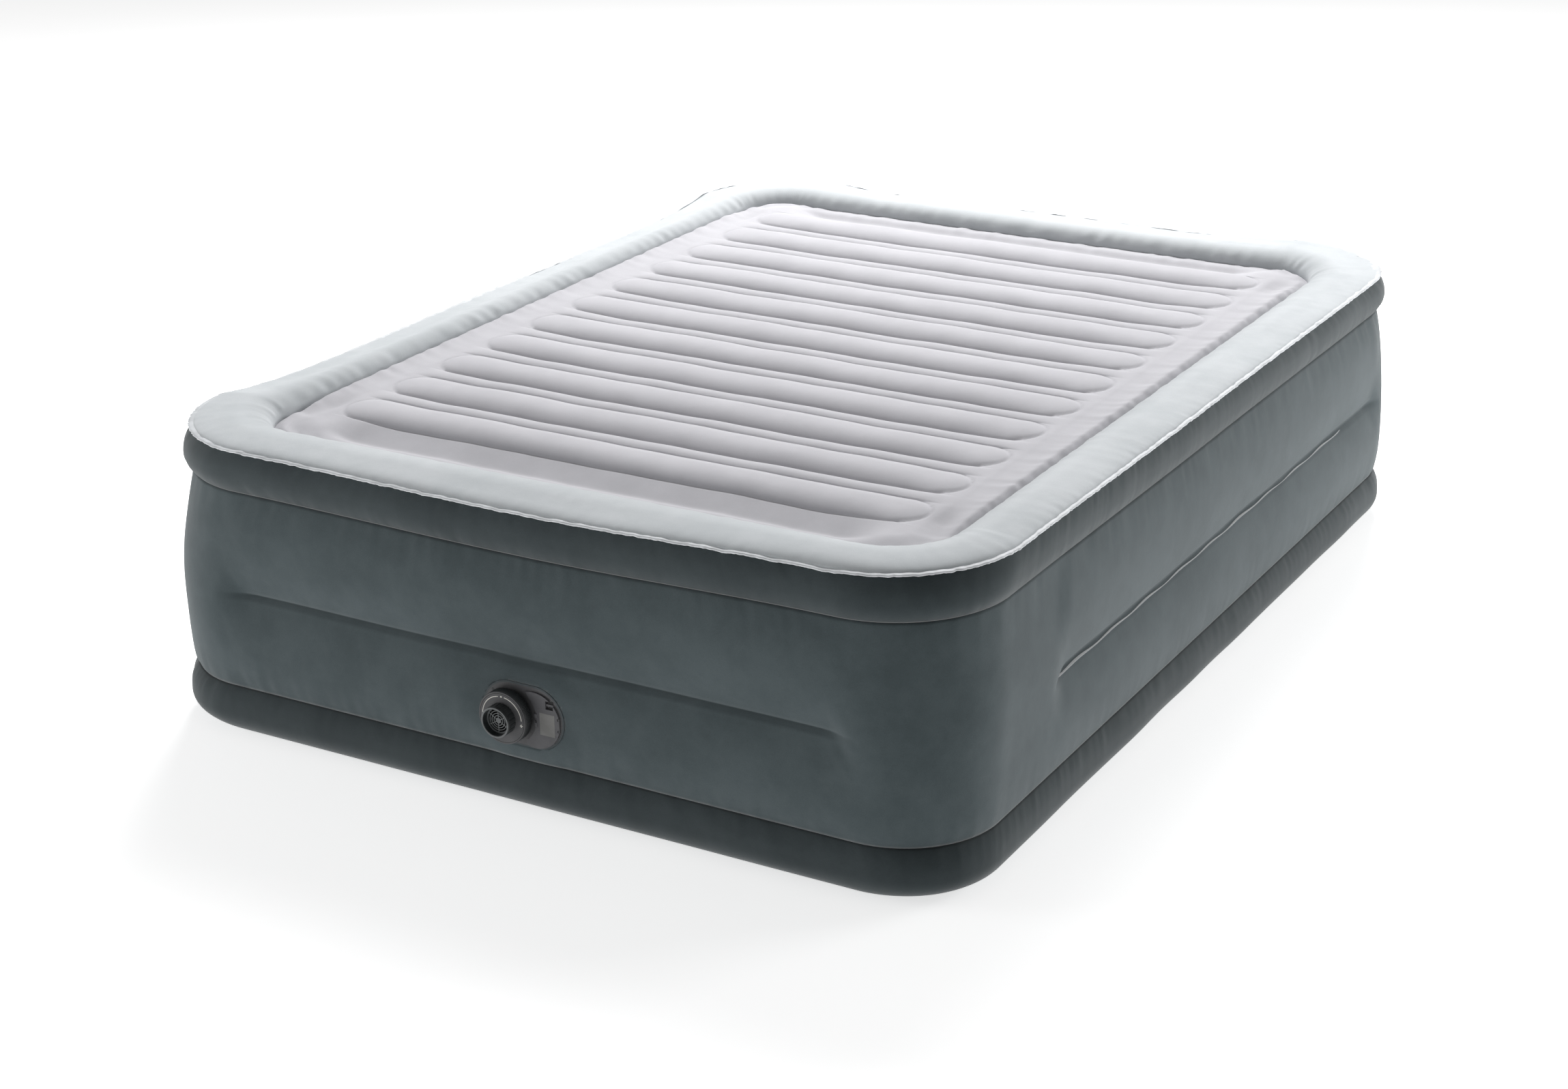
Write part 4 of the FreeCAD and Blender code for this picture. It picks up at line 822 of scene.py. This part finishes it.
def buildWaistSheet(mats, cfg=waistSetup):
    # the inner sheet: flat, with its four corners cut off and a faint wave between the beams
    low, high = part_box("waist_sheet")
    halfWide, halfLong = high[0], high[1]
    cutX, cutY = halfWide - wallSetup["frontReach"], halfLong - wallSetup["sideReachNear"]
    y = np.linspace(-halfLong, halfLong, cfg["rows"])[:, None]
    beyond = np.clip((np.abs(y) - (halfLong - cutY)) / cutY, 0, 1)
    x = np.linspace(-1, 1, cfg["cols"])[None, :] * (halfWide - cutX * beyond)
    y = y + 0 * x
    wave = cfg["wave"] * np.cos(2 * np.pi * y / topSetup["pitch"]) * (1 - beyond)
    points = np.stack([x, y, (low[2] + high[2]) / 2 + wave], -1)
    piece = addMesh("waistSheet", points, gridFaces(*x.shape), mats["tieSheet"], tieThick)
    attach(piece, "mattress")
    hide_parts("waist_sheet")


def buildTies(mats, cfg=tieSetup):
    # each beam is one strip of sheet, folded forward at the top and back at the bottom for its welds
    for node in [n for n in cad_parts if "_tie_" in n]:
        low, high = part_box(node)
        middle, lip = (low[1] + high[1]) / 2, (high[1] - low[1]) / 2
        tall = high[2] - low[2]
        fold = np.linspace(lip, 0, cfg["weldRows"])[:-1]
        web = np.linspace(0, 1, cfg["webRows"])
        across = np.concatenate([fold, 0 * web, -fold[::-1]])[:, None]
        up = np.concatenate([0 * fold, web, 0 * fold + 1])[:, None]
        x = np.linspace(low[0], high[0], cfg["cols"])[None, :] + 0 * up
        seed = sum(ord(c) for c in node)
        sway = cfg["sway"] * ripples(x, seed, cfg["swayWaves"]) * np.sin(np.pi * up)
        z = low[2] + cfg["gap"] + (tall - 2 * cfg["gap"]) * up
        points = np.stack([x, middle + across + sway, z + 0 * x], -1)
        first, last, number = node.split("_")
        piece = addMesh(first + last.title() + number, points, gridFaces(*x.shape), mats["tieSheet"], tieThick)
        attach(piece, "mattress")
        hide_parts(node)


pumpSetup = {
    "face": 0.027,          # the dial's front above the wall plate's level, metres
    "mark": 0.00025, "sunk": 0.0001, "arcRadius": 0.0368, "arcWidth": 0.0012, "arcGap": 9, "arcEnd": 86,
    "signAt": 99, "signSize": 0.0052, "dot": 0.0013, "signEdge": 0.0001,
    "grooveRadius": 0.0412, "grooveWidth": 0.0007, "grooveSunk": 0.0003, "grooveProud": 0.00008,
    "sleeveRadius": 0.04405, "sleeveLow": 0.0085, "sleeveHigh": 0.0245, "sleeveIn": 0.0006,
    "sleeveOut": 0.0003, "knurls": 120, "knurl": 0.00025,
    "lipFrom": 0.0231, "lipTo": 0.0257, "lipLevel": 0.047, "lipHalf": 0.0004,
}
# blocks on the pump's face, each (x from, x to, y from, y to, z from, z to) about the dial's axis
pumpBlocks = {   # name: blocks, material, body, slot, edge radius
    "lidLabel": ([(0.056, 0.084, -0.025, 0.013, 0.0046, 0.0049)],
                 "labelGrey", "cord_lid", "lid_grey", 0.00008),
    "notchFloor": ([(0.0686, 0.0814, 0.0216, 0.0344, 0.0015, 0.0017)],
                   "sealRubber", "mattress", "pump_grey", 0.0),
    "notchBar": ([(0.0700, 0.0800, 0.0262, 0.0284, 0.0016, 0.0030),
                  (0.0712, 0.0722, 0.0240, 0.0306, 0.0016, 0.0026)],
                 "lidGrey", "mattress", "pump_grey", 0.0002),
    "lidTabs": ([(0.0475, 0.0515, 0.003, 0.010, 0.0022, 0.0062),
                 (0.0470, 0.0510, -0.013, -0.005, 0.0022, 0.0062)],
                "lidGrey", "cord_lid", "lid_grey", 0.0006),
}


def onPump(x, y, z):
    # right, up and out from the dial's axis at the wall, to the mattress frame
    base = dialLow[1] + pumpSetup["face"]
    return np.stack(np.broadcast_arrays(dialX + x, base - z, pumpZ + y), -1)


def addRing(name, profile, material, start=0.0, stop=360.0, knurls=(0, 0), count=360):
    # a closed profile of (radius, level) points turned about the dial's axis, angles clockwise from up;
    # a part turn has a profile of four points and gets its two end faces
    r, z = np.array(profile).T
    whole = stop - start >= 360
    angle = np.radians(np.linspace(start, stop, count, endpoint=not whole))[None, :]
    number, depth = knurls
    wave = depth * np.sin(number * angle) * (r[:, None] > r.mean())
    radius = r[:, None] + wave
    points = onPump(radius * np.sin(angle), radius * np.cos(angle), z[:, None] + 0 * angle)
    quads = gridFaces(len(r), count, closeRows=True, closeCols=whole)[:, ::-1]
    if not whole:
        first = np.arange(4) * count
        quads = np.concatenate([quads, [first, first[::-1] + count - 1]])
    piece = addMesh(name, points, quads, material, smooth=whole)
    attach(piece, "dial")


def addBlocks(name, blocks, material, body, edge):
    points, quads = [], []
    for x0, x1, y0, y1, z0, z1 in blocks:
        outline = ((x0, y0), (x1, y0), (x1, y1), (x0, y1))
        corners = np.array([(x, y, z) for z in (z0, z1) for x, y in outline])
        first = len(quads) // 6 * 8
        points.append(onPump(*corners.T))
        sides = [(3, 2, 1, 0), (4, 5, 6, 7), (0, 1, 5, 4), (1, 2, 6, 5), (2, 3, 7, 6), (3, 0, 4, 7)]
        quads += [tuple(first + i for i in side) for side in sides]
    piece = addMesh(name, np.concatenate(points), quads, material, smooth=False)
    if edge:
        bevel = piece.modifiers.new("edges", "BEVEL")
        bevel.width = edge
        bevel.segments = 3
    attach(piece, body)


def bandProfile(inner, outer, low, high):
    return [(inner, low), (outer, low), (outer, high), (inner, high)]


def buildPumpDetails(mats, cfg=pumpSetup):
    face = cfg["face"]
    low, high = face - cfg["sunk"], face + cfg["mark"]
    r, half, bar, dot = cfg["arcRadius"], cfg["signSize"] / 2, cfg["arcWidth"] * 0.55, cfg["dot"]
    markProfile = bandProfile(r - cfg["arcWidth"] / 2, r + cfg["arcWidth"] / 2, low, high)
    addRing("dialArcLeft", markProfile, mats["markWhite"], -cfg["arcEnd"], -cfg["arcGap"], count=80)
    addRing("dialArcRight", markProfile, mats["markWhite"], cfg["arcGap"], cfg["arcEnd"], count=80)
    # plus at the right, minus at the left, dot at the top
    at = math.radians(cfg["signAt"])
    px, py = r * math.sin(at), r * math.cos(at)
    signs = [
        (px - half, px + half, py - bar, py + bar, low, high),
        (px - bar, px + bar, py - half, py + half, low, high),
        (-px - bar, -px + bar, py - half, py + half, low, high),
        (-dot, dot, r - dot, r + dot, low, high),
    ]
    addBlocks("dialSigns", signs, mats["markWhite"], "dial", cfg["signEdge"])
    r = cfg["grooveRadius"]
    groove = bandProfile(r, r + cfg["grooveWidth"], face - cfg["grooveSunk"], face + cfg["grooveProud"])
    addRing("dialGroove", groove, mats["sealRubber"])
    inner, outer = cfg["sleeveRadius"] - cfg["sleeveIn"], cfg["sleeveRadius"] + cfg["sleeveOut"]
    low, high, slope = cfg["sleeveLow"], cfg["sleeveHigh"], cfg["sleeveIn"]
    grip = [(inner, low), (outer, low + slope), (outer, high - slope), (inner, high)]
    addRing("dialGrip", grip, mats["nozzleBlack"], knurls=(cfg["knurls"], cfg["knurl"]), count=960)
    a, b = cfg["lipFrom"], cfg["lipTo"]
    turn = np.linspace(0, 2 * np.pi, 12, endpoint=False)
    lip = np.stack([(a + b) / 2 + (b - a) / 2 * np.cos(turn),
                    cfg["lipLevel"] + cfg["lipHalf"] * np.sin(turn)], -1)
    addRing("nozzleLip", lip, mats["grilleGrey"])
    for name, (blocks, finish, body, slot, edge) in pumpBlocks.items():
        addBlocks(name, blocks, mats[finish], body, edge)


cadFinishes = {
    "pump_collar": "collarVinyl", "face_plate": "pumpGrey", "dial": "pumpGrey", "dial_retainer": "pumpGrey",
    "air_diverter": "innerPlastic", "lid": "lidGrey", "lid_catch": "lidGrey", "nozzle": "nozzleBlack",
    "inlet_grille": "grilleGrey", "dial_seal": "sealRubber", "cord_gland": "sealRubber",
    "pump_housing": "innerPlastic", "cord_tray": "innerPlastic", "fan_cover": "innerPlastic",
    "fan_casing": "innerPlastic", "impeller": "innerPlastic", "microswitch": "innerPlastic",
    "motor_cradle": "innerPlastic", "valve_guide": "innerPlastic", "valve_disc": "innerPlastic",
    "plate_screws": "nozzleBlack", "lid_pin": "steel", "motor_shaft": "steel", "motor_can": "steel",
    "motor_rotor": "steel", "valve_spring": "steel", "motor_bush_front": "bronze",
    "motor_bush_rear": "bronze",
}


def finishCadNodes(mats):
    for name, finish in cadFinishes.items():
        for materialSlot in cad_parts[name].material_slots:
            materialSlot.material = mats[finish]


def addFloor():
    s = Shader("floorPaper", specular=0.1, roughness=0.9, emissionStrength=lightSetup["floorGlow"],
               emissionColor=(1, 1, 1, 1))
    s.feed("Base Color", s.blend(s.noise(2.0, 2.0), rgb(249, 249, 249), rgb(252, 252, 252)))
    half = 12.0
    points = [(-half, -half, -0.0005), (half, -half, -0.0005), (half, half, -0.0005), (-half, half, -0.0005)]
    floor = addMesh("floor", points, [(0, 1, 2, 3)], s.material)


addCamera(camSetup)
addLights(lightSetup)
scene.view_settings.view_transform = "Standard"
addFloor()
mats = makeMaterials()
finishCadNodes(mats)
print("stage and materials ready")
buildMainWall(mats)
buildUpperBand(mats)
buildLowerBand(mats)
buildRim(mats)
buildBorder(mats)
print("side skins ready")
buildTopPanel(mats)
buildBottom(mats)
buildWaistSheet(mats)
buildTies(mats)
print("top, bottom and inner sheets ready")
buildPumpDetails(mats)
print("pump details ready")
